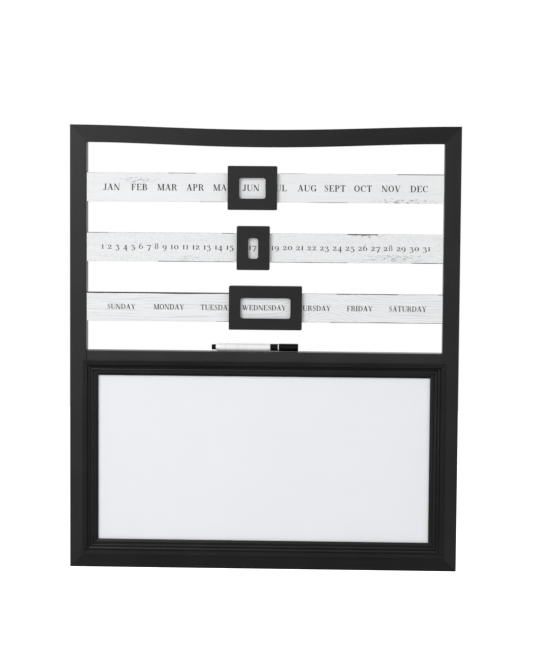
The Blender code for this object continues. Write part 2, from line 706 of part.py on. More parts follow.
def add_marker():
    """The marker's pieces, turned about its axis, which lies along +X on the ledge."""
    spot = Matrix.Translation(MARKER_AXIS) @ ALONG_X
    bore = BARREL_RADIUS - BARREL_WALL
    barrel_start = PLUG_LENGTH + JOINT_GAP
    barrel_end = PLUG_LENGTH + BARREL_LENGTH
    collar_start = barrel_end + JOINT_GAP
    cap_start = barrel_end + COLLAR_LENGTH
    collar_end = cap_start - JOINT_GAP
    plug_bore = PLUG_RADIUS - 2 * JOINT_GAP
    spigot = plug_bore - FIT_CLEARANCE
    turned(
        "marker_end_plug",
        [
            (0, barrel_start + PLUG_SPIGOT),
            (spigot, barrel_start + PLUG_SPIGOT),
            (spigot, PLUG_LENGTH),
            (PLUG_RADIUS, PLUG_LENGTH),
            (PLUG_RADIUS, CAP_ROUNDING),
            (PLUG_RADIUS - CAP_ROUNDING, 0),
            (0, 0),
        ],
        BLACK_PLASTIC,
        spot,
    )
    turned(
        "marker_barrel",
        [
            (BARREL_RADIUS, barrel_end),
            (BARREL_RADIUS, barrel_start + BARREL_SHOULDER),
            (BARREL_NOSE, barrel_start),
            (plug_bore, barrel_start),
            (plug_bore, barrel_start + PLUG_SPIGOT + JOINT_GAP),
            (bore, barrel_start + PLUG_SPIGOT + JOINT_GAP),
            (bore, barrel_end),
        ],
        WHITE_PLASTIC,
        spot,
        closed=True,
    )
    reservoir_start = barrel_start + PLUG_SPIGOT + 2 * JOINT_GAP
    reservoir_end = barrel_end - COLLAR_SPIGOT - JOINT_GAP
    reservoir_radius = bore - JOINT_GAP
    turned(
        "marker_ink_reservoir",
        [
            (0, reservoir_end),
            (reservoir_radius, reservoir_end),
            (reservoir_radius, reservoir_start),
            (0, reservoir_start),
        ],
        INK_FIBRE,
        spot,
    )
    neck_end = collar_end + NECK_LENGTH
    nib_bore = NIB_RADIUS + NIB_CLEARANCE
    turned(
        "marker_collar",
        [
            (NECK_RADIUS - CAP_ROUNDING, neck_end),
            (NECK_RADIUS, neck_end - CAP_ROUNDING),
            (NECK_RADIUS, collar_end),
            (COLLAR_RADIUS, collar_end),
            (COLLAR_RADIUS, collar_start),
            (bore - FIT_CLEARANCE, collar_start),
            (bore - FIT_CLEARANCE, barrel_end - COLLAR_SPIGOT),
            (nib_bore, barrel_end - COLLAR_SPIGOT),
            (nib_bore, neck_end),
        ],
        BLACK_PLASTIC,
        spot,
        closed=True,
    )
    nib_tip = neck_end + NIB_OUT
    nib_start = reservoir_end + JOINT_GAP
    turned(
        "marker_nib",
        [
            (0, nib_tip),
            (NIB_RADIUS / 2, nib_tip - NIB_RADIUS / 6),
            (NIB_RADIUS * 7 / 8, nib_tip - NIB_RADIUS / 2),
            (NIB_RADIUS, nib_tip - NIB_RADIUS),
            (NIB_RADIUS, nib_start),
            (0, nib_start),
        ],
        FELT,
        spot,
    )
    cap_end = MARKER_LENGTH
    cap_bore = CAP_RADIUS - CAP_WALL
    turned(
        "marker_cap",
        [
            (0, cap_end),
            (CAP_RADIUS - CAP_ROUNDING, cap_end),
            (CAP_RADIUS, cap_end - CAP_ROUNDING),
            (CAP_RADIUS, cap_start),
            (cap_bore, cap_start),
            (cap_bore, cap_end - CAP_END),
            (0, cap_end - CAP_END),
        ],
        BLACK_PLASTIC,
        spot,
    )


def build():
    left_stile = add_stile("left_stile", -1)
    right_stile = add_stile("right_stile", 1)
    stiles = {-1: left_stile, 1: right_stile}
    top_rail = add_top_rail()
    middle_rail = add_middle_rail()
    bottom_rail = add_bottom_rail()
    add_dowels(middle_rail, stiles)
    for side, stile in stiles.items():
        word = "left" if side < 0 else "right"
        add_v_nail(f"v_nail_top_{word}", side * HALF_WIDTH, FRAME_TOP, [stile, top_rail])
        add_v_nail(f"v_nail_bottom_{word}", side * HALF_WIDTH, FRAME_BOTTOM, [stile, bottom_rail])
        add_hanger(f"hanger_{word}", side, stile)
    for order, word in enumerate(SLATS):
        add_slat(word, order, stiles)
        add_slider(word, order)
    add_mouldings()
    add_panel()
    members = {"left": left_stile, "right": right_stile, "top": middle_rail, "bottom": bottom_rail}
    add_flex_points(members)
    add_marker()


build()
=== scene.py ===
import math

import bmesh
import bpy
from mathutils import Matrix, Vector
from mathutils.geometry import delaunay_2d_cdt


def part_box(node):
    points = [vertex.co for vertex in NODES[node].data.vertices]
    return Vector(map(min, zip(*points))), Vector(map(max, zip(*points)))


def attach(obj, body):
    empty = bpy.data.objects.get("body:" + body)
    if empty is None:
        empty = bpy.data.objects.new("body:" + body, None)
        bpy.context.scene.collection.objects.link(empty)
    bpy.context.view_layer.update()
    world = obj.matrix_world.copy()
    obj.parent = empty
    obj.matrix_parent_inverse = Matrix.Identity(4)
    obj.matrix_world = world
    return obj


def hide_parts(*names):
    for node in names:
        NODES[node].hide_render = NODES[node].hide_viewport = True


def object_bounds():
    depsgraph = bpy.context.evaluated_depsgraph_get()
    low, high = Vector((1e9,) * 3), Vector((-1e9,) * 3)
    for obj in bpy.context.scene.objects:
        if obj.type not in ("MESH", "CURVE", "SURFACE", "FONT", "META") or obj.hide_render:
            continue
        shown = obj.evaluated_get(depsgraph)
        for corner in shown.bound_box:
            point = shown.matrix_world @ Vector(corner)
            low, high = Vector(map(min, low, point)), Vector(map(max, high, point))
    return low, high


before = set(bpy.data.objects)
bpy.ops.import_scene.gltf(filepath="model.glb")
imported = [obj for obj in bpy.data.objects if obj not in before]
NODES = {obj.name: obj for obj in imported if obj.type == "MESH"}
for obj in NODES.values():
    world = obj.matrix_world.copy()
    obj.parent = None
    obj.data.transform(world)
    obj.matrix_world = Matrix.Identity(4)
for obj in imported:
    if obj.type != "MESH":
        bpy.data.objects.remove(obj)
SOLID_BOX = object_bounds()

SCENE = bpy.context.scene
MM = 0.001
SHARP_ANGLE = math.radians(35)
WELD_DISTANCE = 1e-7
SLIDER_WORDS = ("month", "date", "weekday")

# The camera, as fitted to the photograph's corners, with angles in degrees.
PHOTO_LONG_SIDE = 666
SENSOR_WIDTH = 36.0
CAMERA_PLACE = (0.1165, -3.2, 0.2844)
CAMERA_FOCAL_PIXELS = 2035.2
CAMERA_YAW = -2.029
CAMERA_PITCH = -4.389
CAMERA_ROLL = 0.404
CAMERA_REACH = 60

# The studio: lamps in watts, and how far the floor lies below the hanging board.
KEY_PLACE = (-1.8, -3.0, 1.1)
KEY_SIZE = 1.9
KEY_POWER = 63.0
FILL_PLACE = (2.6, -2.4, 0.6)
FILL_SIZE = 2.2
FILL_POWER = 12.0
BACK_LAMP_PLACE = (1.2, 2.6, 1.8)
BACK_LAMP_POWER = 30.0
ROOM_GLOW = 0.53
ROOM_TINT = (0.985, 0.99, 1.0, 1)
CEILING_GLOW_IN_GLOSS = 0.34
FLOOR_DROP = 0.55
FLOOR_SIZE = 14.0
WHITE = (1, 1, 1, 1)

# The printing on the slats.
MONTHS = "JAN FEB MAR APR MAY JUN JUL AUG SEPT OCT NOV DEC".split()
WEEKDAYS = "SUNDAY MONDAY TUESDAY WEDNESDAY THURSDAY FRIDAY SATURDAY".split()
DATES = [str(date) for date in range(1, 32)]
MONTH_PITCH = 43.6 * MM
MONTH_CAPS = 9.95 * MM
MONTH_STRETCH = 1.12
MONTH_TRACKING = 0.05
WEEKDAY_PITCH = 74.7 * MM
WEEKDAY_CAPS = 8.2 * MM
WEEKDAY_STRETCH = 1.085
WEEKDAY_TRACKING = 0.02
DATES_START = -256.0 * MM
DATES_END = 258.8 * MM
DATE_FIGURES = 6.3 * MM
FIGURES_STRETCH = 1.32
FIGURES_TRACKING = 0.05
INK_THICKNESS = 0.12 * MM
INK_SUNK = 0.02 * MM


# Shader building

def group(name, inputs, outputs):
    """A new shader node group with named sockets, and its input and output nodes."""
    tree = bpy.data.node_groups.new(name, "ShaderNodeTree")
    for socket, kind, value in inputs:
        made = tree.interface.new_socket(socket, in_out="INPUT", socket_type=kind)
        made.default_value = value
    for socket, kind in outputs:
        tree.interface.new_socket(socket, in_out="OUTPUT", socket_type=kind)
    return tree, tree.nodes.new("NodeGroupInput"), tree.nodes.new("NodeGroupOutput")


def fed(tree, socket, value):
    """Gives a socket either a value or the socket that feeds it."""
    if isinstance(value, bpy.types.NodeSocket):
        tree.links.new(value, socket)
    else:
        socket.default_value = value


def node(tree, kind, inputs=None, **settings):
    """A node with its settings and its inputs."""
    made = tree.nodes.new(kind)
    for name, value in settings.items():
        setattr(made, name, value)
    for name, value in (inputs or {}).items():
        fed(tree, made.inputs[name], value)
    return made


def placed(tree, which, place, **values):
    """The outputs of a shared group, placed in a material with that material's own values."""
    made = tree.nodes.new("ShaderNodeGroup")
    made.node_tree = which
    for name, value in {"Place": place, **values}.items():
        fed(tree, made.inputs[name.replace("_", " ")], value)
    return made.outputs


def maths(tree, operation, first, second=0.0, third=0.0):
    made = node(tree, "ShaderNodeMath", {0: first, 1: second, 2: third}, operation=operation)
    return made.outputs[0]


def times(tree, first, *others):
    """Values multiplied together."""
    for other in others:
        first = maths(tree, "MULTIPLY", first, other)
    return first


def vectors(tree, operation, first, second=(0, 0, 0)):
    """A sum on two vectors. A length or a dot product comes out as a value."""
    made = node(tree, "ShaderNodeVectorMath", {0: first, 1: second}, operation=operation)
    return made.outputs["Value" if operation in ("LENGTH", "DOT_PRODUCT") else "Vector"]


def scaled(tree, vector, factor):
    """A vector or a colour made larger by a factor."""
    sockets = {0: vector, "Scale": factor}
    return node(tree, "ShaderNodeVectorMath", sockets, operation="SCALE").outputs[0]


def along(tree, vector, axis):
    """One of a vector's three parts."""
    return node(tree, "ShaderNodeSeparateXYZ", {0: vector}).outputs[axis]


def noise(tree, vector, scale=1.0, detail=2.0, roughness=0.5):
    """Soft random values around a half."""
    sockets = {"Vector": vector, "Scale": scale, "Detail": detail, "Roughness": roughness}
    return node(tree, "ShaderNodeTexNoise", sockets).outputs["Fac"]


def spread(tree, value, low, high, to_low=0.0, to_high=1.0):
    """The value's range from low to high, stretched to run from to_low to to_high."""
    sockets = {"Value": value, "From Min": low, "From Max": high,
               "To Min": to_low, "To Max": to_high}
    return node(tree, "ShaderNodeMapRange", sockets).outputs["Result"]


def blended(tree, share, first, second):
    """Two colours mixed by a share from 0 to 1."""
    sockets = {0: share, 6: first, 7: second}
    return node(tree, "ShaderNodeMix", sockets, data_type="RGBA").outputs[2]


def grey(value, warmth=0.0):
    """A linear grey, a little warmer or, below zero, cooler."""
    return (value * (1 + warmth), value, value * (1 - warmth), 1.0)


def here(tree):
    """The place on the object, in metres."""
    return node(tree, "ShaderNodeTexCoord").outputs["Object"]


def surface_normal(tree):
    return node(tree, "ShaderNodeNewGeometry").outputs["Normal"]


# Shared effects

def make_long_grain():
    """Streaks that run with the wood: fine pores inside slower bands, both bent by a slow drift."""
    inputs = [
        ("Place", "NodeSocketVector", (0, 0, 0)),
        ("Streaks", "NodeSocketVector", (10, 300, 300)),
        ("Drift", "NodeSocketFloat", 0.3),
        ("Band Share", "NodeSocketFloat", 0.4),
    ]
    tree, into, out = group("Long grain", inputs, [("Grain", "NodeSocketFloat")])
    place = into.outputs["Place"]
    slow = node(tree, "ShaderNodeTexNoise", {"Vector": place, "Scale": 9.0, "Detail": 2.0})
    centred = vectors(tree, "SUBTRACT", slow.outputs["Color"], (0.5, 0.5, 0.5))
    stretched = vectors(tree, "MULTIPLY", place, into.outputs["Streaks"])
    drift = scaled(tree, centred, times(tree, into.outputs["Drift"], 6.0))
    bent = vectors(tree, "ADD", stretched, drift)
    pores = noise(tree, bent, detail=3.0, roughness=0.62)
    bands = noise(tree, bent, scale=0.16, detail=1.0)
    mixed = node(tree, "ShaderNodeMix", {0: into.outputs["Band Share"], 2: pores, 3: bands})
    tree.links.new(spread(tree, mixed.outputs[0], 0.3, 0.7), out.inputs["Grain"])
    return tree


def make_cathedral_grain():
    """Growth rings as a plank shows them: lines that run level and rise into a pointed arch.
    They waver, and patches break them."""
    inputs = [
        ("Place", "NodeSocketVector", (0, 0, 0)),
        ("Arch Middle", "NodeSocketFloat", 0.1),
        ("Arch Height", "NodeSocketFloat", 0.02),
        ("Arch Width", "NodeSocketFloat", 0.05),
        ("Ring Spacing", "NodeSocketFloat", 0.0046),
        ("Waver", "NodeSocketFloat", 0.014),
    ]
    tree, into, out = group("Cathedral grain", inputs, [("Rings", "NodeSocketFloat")])
    place = into.outputs["Place"]
    away = maths(tree, "SUBTRACT", along(tree, place, "X"), into.outputs["Arch Middle"])
    share = maths(tree, "DIVIDE", away, into.outputs["Arch Width"])
    fall = maths(tree, "EXPONENT", times(tree, share, share, -1.0))
    arch = times(tree, fall, into.outputs["Arch Height"])
    slow = noise(tree, vectors(tree, "MULTIPLY", place, (9.0, 9.0, 55.0)), detail=3.0)
    waver = times(tree, maths(tree, "SUBTRACT", slow, 0.5), into.outputs["Waver"])
    straight = maths(tree, "SUBTRACT", along(tree, place, "Z"), arch)
    level = maths(tree, "ADD", straight, waver)
    turns = times(tree, maths(tree, "DIVIDE", level, into.outputs["Ring Spacing"]), 2 * math.pi)
    wave = spread(tree, maths(tree, "SINE", turns), 0.3, 1.0)
    patches = noise(tree, vectors(tree, "MULTIPLY", place, (16.0, 16.0, 230.0)))
    kept = spread(tree, patches, 0.38, 0.62)
    tree.links.new(times(tree, wave, kept), out.inputs["Rings"])
    return tree


def make_edge_rub():
    """Where an edge is sharp enough to have lost a little of its finish, broken up by hand wear.
    In the satin paint it also carries a painted sheen along the edges.
    """
    inputs = [
        ("Place", "NodeSocketVector", (0, 0, 0)),
        ("Radius", "NodeSocketFloat", 0.0008),
        ("Amount", "NodeSocketFloat", 0.5),
    ]
    outputs = [("Wear And Sheen", "NodeSocketFloat"), ("Eased Normal", "NodeSocketVector")]
    tree, into, out = group("Edge wear and sheen", inputs, outputs)
    eased = node(tree, "ShaderNodeBevel", {"Radius": into.outputs["Radius"]}, samples=4)
    facing = vectors(tree, "DOT_PRODUCT", eased.outputs[0], surface_normal(tree))
    edge = spread(tree, facing, 0.98, 0.75)
    kept = spread(tree, noise(tree, into.outputs["Place"], 160.0, 3.0), 0.42, 0.62)
    tree.links.new(times(tree, edge, kept, into.outputs["Amount"]), out.inputs["Wear And Sheen"])
    tree.links.new(eased.outputs[0], out.inputs["Eased Normal"])
    return tree


def make_uneven_tone():
    """A colour and a roughness that change a little over the surface, as handled things do."""
    inputs = [
        ("Place", "NodeSocketVector", (0, 0, 0)),
        ("Colour", "NodeSocketColor", (0.5, 0.5, 0.5, 1)),
        ("Size", "NodeSocketFloat", 20.0),
        ("Tone Spread", "NodeSocketFloat", 0.08),
        ("Roughness", "NodeSocketFloat", 0.4),
        ("Roughness Spread", "NodeSocketFloat", 0.06),
    ]
    outputs = [("Colour", "NodeSocketColor"), ("Roughness", "NodeSocketFloat")]
    tree, into, out = group("Uneven tone", inputs, outputs)
    cloudy = noise(tree, into.outputs["Place"], into.outputs["Size"], 4.0)
    centred = maths(tree, "SUBTRACT", cloudy, 0.5)
    tone = maths(tree, "ADD", 1.0, times(tree, centred, into.outputs["Tone Spread"]))
    rough = times(tree, centred, into.outputs["Roughness Spread"])
    tree.links.new(scaled(tree, into.outputs["Colour"], tone), out.inputs["Colour"])
    rough = maths(tree, "ADD", into.outputs["Roughness"], rough)
    tree.links.new(rough, out.inputs["Roughness"])
    return tree


def make_specks():
    """Small dark flecks where a print is worn through, only within an oval patch."""
    inputs = [
        ("Place", "NodeSocketVector", (0, 0, 0)),
        ("Patch Middle", "NodeSocketVector", (0, 0, 0)),
        ("Patch Reach", "NodeSocketVector", (0.04, 0.04, 0.005)),
        ("Amount", "NodeSocketFloat", 0.5),
    ]
    tree, into, out = group("Worn specks", inputs, [("Specks", "NodeSocketFloat")])
    away = vectors(tree, "SUBTRACT", into.outputs["Place"], into.outputs["Patch Middle"])
    share = vectors(tree, "DIVIDE", away, into.outputs["Patch Reach"])
    reach = vectors(tree, "LENGTH", vectors(tree, "MULTIPLY", share, (1, 0, 1)))
    patch = spread(tree, reach, 1.0, 0.4)
    fine = vectors(tree, "MULTIPLY", into.outputs["Place"], (150, 150, 680))
    flecks = spread(tree, noise(tree, fine, detail=3.0, roughness=0.7), 0.53, 0.62)
    tree.links.new(times(tree, patch, flecks, into.outputs["Amount"]), out.inputs["Specks"])
    return tree


def make_bare_stretch():
    """1 along one stretch of the slat's upper half (side 1) or lower half (side -1)."""
    inputs = [
        ("Place", "NodeSocketVector", (0, 0, 0)),
        ("Start", "NodeSocketFloat", 0.0),
        ("End", "NodeSocketFloat", 0.1),
        ("Slat Height", "NodeSocketFloat", 0.2),
        ("Side", "NodeSocketFloat", 1.0),
    ]
    tree, into, out = group("Bare stretch", inputs, [("Bare", "NodeSocketFloat")])
    start, end = into.outputs["Start"], into.outputs["End"]
    across = along(tree, into.outputs["Place"], "X")
    begun = spread(tree, across, start, maths(tree, "ADD", start, 4 * MM))
    ended = spread(tree, across, end, maths(tree, "SUBTRACT", end, 4 * MM))
    height = along(tree, into.outputs["Place"], "Z")
    above = maths(tree, "SUBTRACT", height, into.outputs["Slat Height"])
    sided = maths(tree, "GREATER_THAN", times(tree, above, into.outputs["Side"]), 0.0)
    tree.links.new(times(tree, begun, ended, sided), out.inputs["Bare"])
    return tree


LONG_GRAIN = make_long_grain()
BARE_STRETCH = make_bare_stretch()
CATHEDRAL_GRAIN = make_cathedral_grain()
EDGE_WEAR_AND_SHEEN = make_edge_rub()
UNEVEN_TONE = make_uneven_tone()
WORN_SPECKS = make_specks()


# Materials

def new_material(name, **shader_values):
    """A Principled material and its tree, with uniform values on the shader's own sockets."""
    material = bpy.data.materials.new(name)
    material.use_nodes = True
    tree = material.node_tree
    shader = tree.nodes["Principled BSDF"]
    for socket, value in shader_values.items():
        shader.inputs[socket.replace("_", " ")].default_value = value
    return material, tree, shader


def surfaced(tree, shader, colour, roughness):
    """Feeds the shader's colour and roughness."""
    tree.links.new(colour, shader.inputs["Base Color"])
    tree.links.new(roughness, shader.inputs["Roughness"])


def bumped(tree, shader, height, strength, distance, normal=None):
    """Feeds the shader's normal from a height."""
    sockets = {"Height": height, "Strength": strength, "Distance": distance}
    made = node(tree, "ShaderNodeBump", sockets)
    if normal is not None:
        tree.links.new(normal, made.inputs["Normal"])
    tree.links.new(made.outputs[0], shader.inputs["Normal"])


def satin_paint(name, streaks, colour, roughness):
    """Black satin paint over wood: pores show faintly, and the sharpest edges are lighter grey,
    partly rubbed and partly a painted sheen.
    """
    material, tree, shader = new_material(name, Specular_IOR_Level=0.42)
    place = here(tree)
    grain = placed(tree, LONG_GRAIN, place, Streaks=streaks, Drift=0.5, Band_Share=0.35)
    edge_wear_and_sheen = placed(tree, EDGE_WEAR_AND_SHEEN, place, Radius=0.0006, Amount=0.2)
    tone = placed(tree, UNEVEN_TONE, place, Colour=colour, Size=14.0, Tone_Spread=0.5,
                  Roughness=roughness, Roughness_Spread=0.16)
    pores = times(tree, grain[0], 0.07)
    lifted = blended(tree, pores, tone["Colour"], grey(0.05, 0.02))
    # Lighter arrises: partly paint rubbed thin, partly a painted sheen along the edges.
    marked = blended(tree, edge_wear_and_sheen["Wear And Sheen"], lifted, grey(0.07, 0.05))
    surfaced(tree, shader, marked, tone["Roughness"])
    bumped(tree, shader, grain[0], 0.35, 0.00015)
    return material


# The print's edge wanders past the slat's own edge, from this far to this far outside it.
# A bare stretch draws it back in by BARE_START and by that stretch's own width.
PRINT_OVERRUN = 1.4 * MM
PRINT_LEAST_OVERRUN = 0.4 * MM
BARE_START = 0.8 * MM
PRINT_EDGE_BLUR = 0.2 * MM


def printed_face(tree, place, word, stretches):
    """1 on the slat's printed face, and 0 on its back and where black shows along its long edges.
    The print runs over the edge, but in these stretches it stops a little short of it."""
    low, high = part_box(f"{word}_slat")
    middle, half_height = (low.z + high.z) / 2, (high.z - low.z) / 2
    toward = times(tree, along(tree, surface_normal(tree), "Y"), -1.0)
    wander = noise(tree, vectors(tree, "MULTIPLY", place, (11, 0, 40)), detail=3.0)
    short = spread(tree, wander, 0.4, 0.7, -PRINT_OVERRUN, -PRINT_LEAST_OVERRUN)
    for start, end, side, width in stretches:
        bare = placed(tree, BARE_STRETCH, place, Start=start, End=end, Slat_Height=middle,
                      Side=side)
        drawn_back = width * MM + BARE_START
        short = maths(tree, "MULTIPLY_ADD", bare[0], drawn_back, short)
    from_middle = maths(tree, "SUBTRACT", along(tree, place, "Z"), middle)
    from_edge = maths(tree, "SUBTRACT", half_height, maths(tree, "ABSOLUTE", from_middle))
    past = maths(tree, "SUBTRACT", from_edge, short)
    inside = spread(tree, past, -PRINT_EDGE_BLUR, PRINT_EDGE_BLUR)
    return times(tree, inside, spread(tree, toward, 0.1, 0.4))


def slat_finish(word, ring_share, arch_middle, specks, speckle, stretches):
    """White-washed grain printed on the slat's face, with black painted edges and back."""
    material, tree, shader = new_material(f"White-washed {word} slat", Specular_IOR_Level=0.35)
    place = here(tree)
    grain = placed(tree, LONG_GRAIN, place, Streaks=(14, 300, 620), Drift=0.4,
                   Band_Share=0.3)[0]
    rings = placed(tree, CATHEDRAL_GRAIN, place, Arch_Middle=arch_middle)[0]
    washed = blended(tree, times(tree, grain, 0.38), grey(0.855, -0.004), grey(0.62, -0.01))
    ringed = blended(tree, times(tree, rings, ring_share), washed, grey(0.55, -0.01))
    dots = spread(tree, noise(tree, place, 520.0), 0.52, 0.66, 0.0, speckle)
    face = blended(tree, dots, ringed, grey(0.45, -0.01))
    for middle, reach, amount in specks:
        marked = placed(tree, WORN_SPECKS, place, Patch_Middle=middle, Patch_Reach=reach,
                      Amount=amount)
        face = blended(tree, marked[0], face, grey(0.10))
    colour = blended(tree, printed_face(tree, place, word, stretches), grey(0.02), face)
    surfaced(tree, shader, colour, spread(tree, grain, 0.0, 1.0, 0.46, 0.6))
    bumped(tree, shader, grain, 0.2, 0.0001)
    return material


def lettering_ink():
    """Flat black ink, thinner where the roller skipped."""
    material, tree, shader = new_material("Lettering ink", Specular_IOR_Level=0.3)
    place = here(tree)
    tone = placed(tree, UNEVEN_TONE, place, Colour=grey(0.03), Size=260.0, Tone_Spread=0.5,
                  Roughness=0.6, Roughness_Spread=0.1)
    thin = spread(tree, noise(tree, place, 900.0), 0.6, 0.75, 0.0, 0.5)
    surfaced(tree, shader, blended(tree, thin, tone["Colour"], grey(0.3)),
             tone["Roughness"])
    return material


def dry_erase_melamine():
    """Smooth cool white melamine, with a trace of old wiping, on a brown hardboard back."""
    material, tree, shader = new_material("Dry-erase melamine", Specular_IOR_Level=0.5)
    place = here(tree)
    wiped = placed(tree, LONG_GRAIN, place, Streaks=(26, 40, 90), Drift=2.0, Band_Share=0.5)
    tone = placed(tree, UNEVEN_TONE, place, Colour=(0.838, 0.850, 0.872, 1), Size=5.0,
                  Tone_Spread=0.03, Roughness=0.26, Roughness_Spread=0.05)
    ghost = times(tree, wiped[0], 0.03)
    white = blended(tree, ghost, tone["Colour"], grey(0.6))
    fibres = placed(tree, LONG_GRAIN, place, Streaks=(700, 700, 700), Drift=0.5,
                    Band_Share=0.25)[0]
    brown = blended(tree, fibres, (0.20, 0.105, 0.055, 1), (0.34, 0.20, 0.115, 1))
    behind = spread(tree, along(tree, surface_normal(tree), "Y"), -0.8, -0.6)
    rough = maths(tree, "ADD", tone["Roughness"], times(tree, behind, 0.5))
    surfaced(tree, shader, blended(tree, behind, white, brown), rough)
    peel = noise(tree, place, 420.0, 1.0)
    height = maths(tree, "ADD", peel, times(tree, behind, fibres, 6.0))
    bumped(tree, shader, height, 0.05, 0.0001)
    return material


def bare_beech():
    """Turned beech: short dark flecks along the dowel."""
    material, tree, shader = new_material("Bare beech")
    place = here(tree)
    grain = placed(tree, LONG_GRAIN, place, Streaks=(60, 700, 700), Drift=0.3,
                   Band_Share=0.5)[0]
    tone = placed(tree, UNEVEN_TONE, place, Colour=(0.56, 0.37, 0.21, 1), Size=60.0,
                  Tone_Spread=0.2, Roughness=0.62, Roughness_Spread=0.1)
    dark = times(tree, grain, 0.5)
    surfaced(tree, shader, blended(tree, dark, tone["Colour"], (0.36, 0.21, 0.11, 1)),
             tone["Roughness"])
    bumped(tree, shader, grain, 0.3, 0.0001)
    return material


def black_hardboard():
    """Black-sprayed hardboard, with its pressed fibres just showing."""
    material, tree, shader = new_material("Black hardboard")
    place = here(tree)
    fibres = placed(tree, LONG_GRAIN, place, Streaks=(420, 420, 520), Drift=3.0,
                    Band_Share=0.3)[0]
    edge_wear_and_sheen = placed(tree, EDGE_WEAR_AND_SHEEN, place, Radius=0.0005, Amount=0.5)
    tone = placed(tree, UNEVEN_TONE, place, Colour=grey(0.03, 0.03), Size=40.0,
                  Tone_Spread=0.3, Roughness=0.62, Roughness_Spread=0.12)
    sprayed = blended(tree, times(tree, fibres, 0.2), tone["Colour"], grey(0.07, 0.1))
    marked = blended(tree, edge_wear_and_sheen["Wear And Sheen"], sprayed, (0.12, 0.08, 0.05, 1))
    surfaced(tree, shader, marked, tone["Roughness"])
    bumped(tree, shader, fibres, 0.4, 0.0001)
    return material


def zinc_plate():
    """Bright zinc plate on pressed steel, with rolling lines and duller patches."""
    material, tree, shader = new_material("Zinc plate", Metallic=1.0)
    place = here(tree)
    lines = placed(tree, LONG_GRAIN, place, Streaks=(900, 900, 60), Drift=0.2, Band_Share=0.3)
    edge_wear_and_sheen = placed(tree, EDGE_WEAR_AND_SHEEN, place, Radius=0.0003, Amount=0.6)
    tone = placed(tree, UNEVEN_TONE, place, Colour=(0.62, 0.63, 0.62, 1), Size=120.0,
                  Tone_Spread=0.25, Roughness=0.34, Roughness_Spread=0.2)
    surfaced(tree, shader, blended(tree, edge_wear_and_sheen["Wear And Sheen"], tone["Colour"], grey(0.8)),
             tone["Roughness"])
    bumped(tree, shader, lines[0], 0.15, 0.00005, edge_wear_and_sheen["Eased Normal"])
    return material


def moulded_plastic(name, colour, roughness, shine):
    """Moulded plastic with a faint skin, scuffed on its edges."""
    material, tree, shader = new_material(name, Specular_IOR_Level=shine)
    place = here(tree)
    edge_wear_and_sheen = placed(tree, EDGE_WEAR_AND_SHEEN, place, Radius=0.0004, Amount=0.25)
    tone = placed(tree, UNEVEN_TONE, place, Colour=colour, Size=90.0, Tone_Spread=0.06,
                  Roughness=roughness, Roughness_Spread=0.08)
    surfaced(tree, shader, blended(tree, edge_wear_and_sheen["Wear And Sheen"], tone["Colour"], grey(0.2)),
             tone["Roughness"])
    skin = noise(tree, place, 1500.0, 1.0)
    bumped(tree, shader, skin, 0.08, 0.00005, edge_wear_and_sheen["Eased Normal"])
    return material


def pressed_fibre(name, colour):
    """Felt or ink wadding: matt, with fine crossing fibres."""
    material, tree, shader = new_material(name, Sheen_Weight=0.3, Specular_IOR_Level=0.1)
    place = here(tree)
    hairs = placed(tree, LONG_GRAIN, place, Streaks=(500, 2600, 2600), Drift=3.0,
                   Band_Share=0.2)[0]
    tone = placed(tree, UNEVEN_TONE, place, Colour=colour, Size=300.0, Tone_Spread=0.4,
                  Roughness=0.92, Roughness_Spread=0.06)
    light = times(tree, hairs, 0.25)
    surfaced(tree, shader, blended(tree, light, tone["Colour"], grey(0.25)),
             tone["Roughness"])
    bumped(tree, shader, hairs, 0.6, 0.0001)
    return material


UPRIGHT_STREAKS = (420.0, 420.0, 9.0)
LEVEL_STREAKS = (9.0, 420.0, 420.0)
# One satin black paint in lit and shaded copies: the stiles and the ledge rail painted lighter, the
# rails and the moulding painted darker, as painted light and shade.
STILE_LIT_COLOUR = (0.0118, 0.0116, 0.0126, 1)
RAIL_SHADED_COLOUR = (0.0042, 0.0040, 0.0046, 1)
LEDGE_LIT_COLOUR = (0.0168, 0.0164, 0.0176, 1)
MOULDING_SHADED_COLOUR = (0.0080, 0.0078, 0.0088, 1)
SLIDER_COLOUR = (0.0086, 0.0082, 0.0094, 1)
FRAME_ROUGHNESS = 0.42
MOULDING_ROUGHNESS = 0.34
SLIDER_ROUGHNESS = 0.46

ZINC = zinc_plate()
INK = lettering_ink()
JOINT_PAINT = satin_paint("Satin black paint in the joints", LEVEL_STREAKS, RAIL_SHADED_COLOUR,
                          FRAME_ROUGHNESS)
BLACK_PLASTIC = moulded_plastic("Black moulded plastic", grey(0.004), 0.36, 0.18)
WHITE_PLASTIC = moulded_plastic("White moulded plastic", grey(0.93), 0.28, 0.5)

# The paints of the frame and the sliders: name, streaks, colour, roughness and nodes. The frame's
# one black paint comes in lit and shaded copies: painted light on the stiles and the ledge rail,
# painted shade on the rails and the moulding.
PAINTED = [
    ("Satin black paint on upright wood", UPRIGHT_STREAKS, STILE_LIT_COLOUR, FRAME_ROUGHNESS,
     ["left_stile", "right_stile"]),
    ("Satin black paint on level wood", LEVEL_STREAKS, RAIL_SHADED_COLOUR, FRAME_ROUGHNESS,
     ["top_rail", "bottom_rail"]),
    ("Satin black paint on the ledge rail", LEVEL_STREAKS, LEDGE_LIT_COLOUR, FRAME_ROUGHNESS,
     ["middle_rail"]),
    ("Satin black slider paint", LEVEL_STREAKS, SLIDER_COLOUR, SLIDER_ROUGHNESS,
     [f"{word}_slider_front" for word in SLIDER_WORDS]),
    ("Satin black paint on upright moulding", UPRIGHT_STREAKS, MOULDING_SHADED_COLOUR,
     MOULDING_ROUGHNESS, ["moulding_left", "moulding_right"]),
    ("Satin black paint on level moulding", LEVEL_STREAKS, MOULDING_SHADED_COLOUR,
     MOULDING_ROUGHNESS, ["moulding_top", "moulding_bottom"]),
]

